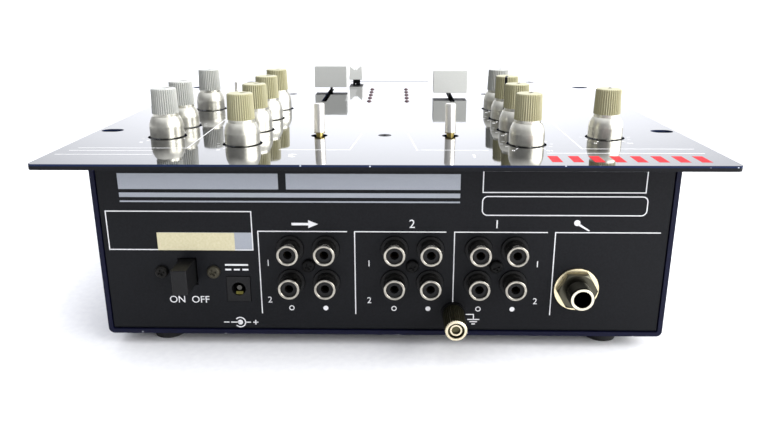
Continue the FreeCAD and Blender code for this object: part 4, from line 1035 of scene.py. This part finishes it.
rear_marks += stroke(circle(PIN_SIGN, PIN_RING_RADIUS, start=220, sweep=280), PIN_RING_LINE)
rear_marks.append(circle(PIN_SIGN, PIN_DOT_RADIUS, count=SMALL_ROUND))
for start, end in PIN_DASHES:
    rear_marks += stroke([(start, PIN_SIGN[1]), (end, PIN_SIGN[1])])
rear_marks += stroke([(PLUS_U, PIN_SIGN[1] - PLUS_HALF), (PLUS_U, PIN_SIGN[1] + PLUS_HALF)])
rear_words.append(SWITCH_WORDS)
print_layer("rear_print_white", rear, rear_white_ink_shaded, rear_marks, rear_words)
print("rear has", len(rear_marks), "marks and", len(rear_words), "words")

# %% [markdown]
# ## Sign on the front
# A headphone sign sits over the jack on the front: a band and two pads. It could be a character of a symbol
# font, but an arc and two bars are enough, and drawn from the middle of the jack they stay over it.

# %% Sign on the front
JACK_X = middle("jack_sleeves").x
PHONES_V = 62.5
BAND_RADIUS = 3.4
PAD_INNER = 2.5
PAD_OUTER = 4.3
PAD_FOOT = PHONES_V - 2.9
PAD_TOP = PHONES_V + 0.4

front_marks = stroke(circle((JACK_X, PHONES_V), BAND_RADIUS, start=0, sweep=180), BOLD_LINE)
front_marks.append(bar(JACK_X - PAD_OUTER, PAD_FOOT, JACK_X - PAD_INNER, PAD_TOP))
front_marks.append(bar(JACK_X + PAD_INNER, PAD_FOOT, JACK_X + PAD_OUTER, PAD_TOP))
print_layer("front_print_white", front, white_ink, front_marks)
print("front has", len(front_marks), "marks")

# %% [markdown]
# ## Paper label
# A blank label gone cream is stuck in the ruled box. It is thicker than ink, so the same layer is raised by
# the thickness of paper. A flat card with a texture would do from afar, but not in a close-up.

# %% Paper label
LABEL = -88.5, 41.5, -58.1, 48.8
PAPER_THICKNESS = 0.08


def aged_paper():
    """A paper label gone cream, with fibres that show as a soft mottle."""
    return moulded_plastic("aged_paper", "#b8b190", "#c3bc9d", 0.8, grain_size=0.9)


print_layer("rear_label", rear, aged_paper(), [bar(*LABEL)], thickness=PAPER_THICKNESS)
print("blank label", round(LABEL[2] - LABEL[0], 1), "mm wide on the rear panel")

# %% [markdown]
# ## Pointers
# A black line runs across the top of each cap, down its side and down the skirt, so the setting can be
# read. On the real knob it is paint run into a groove. A prism that fills the groove gives that sharp edge
# without cutting the cap again. A second prism follows the round shoulder of the skirt.

# %% Outlines of the pointer
skirt_low, skirt_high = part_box("knob_skirt_master")
cap_low, cap_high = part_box("knob_cap_master")
SKIRT_RADIUS = (skirt_high[0] - skirt_low[0]) / 2 / MM
SKIRT_SHOULDER = 84.7
SKIRT_WAIST = 6.5, 86.95
SKIRT_TOP = 5.6, 88.8
SKIRT_LINE_FOOT = 80.6
SHOULDER_STEPS = 10
PAINT_PROUD = 0.05, 0.02
PAINT_SUNK = 0.1, 0.05
CAP_FOOT = cap_low[2] / MM
CAP_TOP = cap_high[2] / MM
GROOVE_FOOT = 4.57
GROOVE_GAP = 0.1
FILL_DEPTH = 0.58
FILL_FLOOR = CAP_TOP - FILL_DEPTH
FILL_FOOT = 0.75
FILL_SIDE = 0.45
FILL_CORNER = 0.25
FILL_TOP = 0.45
FILL_CHAMFER = 0.3


def arc_through(first, second, third, count):
    """Points along the circle through three points."""
    (ax, ay), (bx, by), (cx, cy) = first, second, third
    a_square = ax * ax + ay * ay
    b_square = bx * bx + by * by
    c_square = cx * cx + cy * cy
    share = 2 * (ax * (by - cy) + bx * (cy - ay) + cx * (ay - by))
    centre_x = (a_square * (by - cy) + b_square * (cy - ay) + c_square * (ay - by)) / share
    centre_y = (a_square * (cx - bx) + b_square * (ax - cx) + c_square * (bx - ax)) / share
    start = math.degrees(math.atan2(ay - centre_y, ax - centre_x))
    end = math.degrees(math.atan2(cy - centre_y, cx - centre_x))
    radius = math.hypot(ax - centre_x, ay - centre_y)
    return circle((centre_x, centre_y), radius, start, end - start, count)


fill_level = FILL_FLOOR + FILL_TOP
cap_line = [
    (GROOVE_FOOT, CAP_FOOT + GROOVE_GAP),
    (GROOVE_FOOT + FILL_FOOT, CAP_FOOT + GROOVE_GAP),
    (GROOVE_FOOT + FILL_SIDE, fill_level - FILL_CHAMFER),
    (GROOVE_FOOT + FILL_CORNER, fill_level),
    (GROOVE_GAP, fill_level),
    (GROOVE_GAP, FILL_FLOOR),
    (GROOVE_FOOT, FILL_FLOOR),
]
skirt_side = [(SKIRT_RADIUS, SKIRT_LINE_FOOT)]
skirt_side += arc_through((SKIRT_RADIUS, SKIRT_SHOULDER), SKIRT_WAIST, SKIRT_TOP, SHOULDER_STEPS)
skirt_line = [(r + PAINT_PROUD[0], z + PAINT_PROUD[1]) for r, z in skirt_side]
skirt_line += [(r - PAINT_SUNK[0], z - PAINT_SUNK[1]) for r, z in reversed(skirt_side)]
print("pointer outlines have", len(cap_line), "and", len(skirt_line), "points")

# %% Pointers
POINTER_HALF = 0.56
REST_TURN = -150
TURN_OF = {"ch1_mid": 14}


def add_prism(shape, outline, half_width):
    """A closed bar across x whose outline lies in y and z."""
    left = [shape.verts.new((-half_width * MM, y * MM, z * MM)) for y, z in outline]
    right = [shape.verts.new((half_width * MM, y * MM, z * MM)) for y, z in outline]
    shape.faces.new(left)
    shape.faces.new(list(reversed(right)))
    for i in range(len(outline)):
        shape.faces.new([left[i - 1], left[i], right[i], right[i - 1]])


for knob in KNOBS:
    pointer = bmesh.new()
    add_prism(pointer, cap_line, POINTER_HALF)
    add_prism(pointer, skirt_line, POINTER_HALF)
    centre = middle("knob_cap_" + knob)
    turn = Matrix.Rotation(-math.radians(TURN_OF.get(knob, REST_TURN)), 4, "Z")
    place = Matrix.Translation((centre.x * MM, centre.y * MM, 0)) @ turn
    add_piece("pointer_" + knob, pointer, place, black_ink, "knob_" + knob)
print("pointers on", len(KNOBS), "knobs")

# %% [markdown]
# ## Screw threads
# Each jack is held by a nut on a threaded sleeve. A bump could fake the thread, but its outline shows
# against the light, so one ridge with a real pitch is wound round the sleeve, from the nut to near its end.

# %% Screw threads on the jack sleeves
THREAD_PITCH = 0.8
SLEEVE_RADIUS = 4.6
THREAD_ROOT = SLEEVE_RADIUS - 0.05
THREAD_CREST = SLEEVE_RADIUS + 0.25
THREAD_HALF = 0.36
STEPS_PER_TURN = 40
sleeves_low, sleeves_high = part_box("jack_sleeves")
MIC_JACK_Z = sleeves_low[2] / MM + SLEEVE_RADIUS
PHONES_JACK_Z = sleeves_high[2] / MM - SLEEVE_RADIUS
NUT_TOP = 4.1
MIC_THREAD_END = 10.4
PHONES_THREAD_END = 5.5
RIDGE = ((THREAD_ROOT, -THREAD_HALF), (THREAD_CREST, 0.0), (THREAD_ROOT, THREAD_HALF))


def wind_thread(name, start, end, centre_z):
    """One ridge wound round a sleeve that lies along y, from one depth to another."""
    shape = bmesh.new()
    count = int(abs(end - start) / THREAD_PITCH * STEPS_PER_TURN)
    rows = []
    for i in range(count + 1):
        turn = 2 * math.pi * i / STEPS_PER_TURN
        along = start + (end - start) * i / count
        row = []
        for radius, shift in RIDGE:
            x = JACK_X + radius * math.cos(turn)
            z = centre_z + radius * math.sin(turn)
            row.append(shape.verts.new(Vector((x, along + shift, z)) * MM))
        rows.append(row)
    for one, two in zip(rows, rows[1:]):
        for i in range(len(RIDGE)):
            shape.faces.new([one[i - 1], one[i], two[i], two[i - 1]])
    shape.faces.new(rows[0])
    shape.faces.new(rows[-1])
    thread = add_piece(name, shape, Matrix.Identity(4), nickel_painted_dark_sides, "chassis")


rear_mm = REAR_FACE / MM
front_mm = FRONT_FACE / MM
wind_thread("mic_jack_thread", rear_mm + NUT_TOP, rear_mm + MIC_THREAD_END, MIC_JACK_Z)
wind_thread("phones_jack_thread", front_mm - NUT_TOP, front_mm - PHONES_THREAD_END, PHONES_JACK_Z)
print("threads wound at a pitch of", THREAD_PITCH, "mm")

# %% [markdown]
# ## The leaf in the power socket
# Under its pin the power socket has a brass leaf that springs against the sleeve of the plug. It is stamped
# from strip and bent to a low hump. A curve with a bevel could follow the bend, but an outline drawn from
# the side and pulled out to the width of the strip keeps the square edges that stamping leaves.

# %% Leaf in the power socket
LEAF_WIDTH = 2.8
LEAF_THICKNESS = 0.3
LEAF_LINE = [(-0.9, -2.6), (-1.7, -1.7), (-3.2, -1.6), (-4.9, -2.5)]

leaf = bmesh.new()
leaf_under = [(y, z - LEAF_THICKNESS) for y, z in reversed(LEAF_LINE)]
add_prism(leaf, LEAF_LINE + leaf_under, LEAF_WIDTH / 2)
socket = middle("dc_jack")
socket_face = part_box("dc_jack")[1][1]
leaf_place = Matrix.Translation((socket.x * MM, socket_face, socket.z * MM))
leaf_piece = add_piece("dc_leaf_contact", leaf, leaf_place, finishes["brass_contact"], "chassis")
print("leaf", LEAF_WIDTH, "mm wide in the power socket")
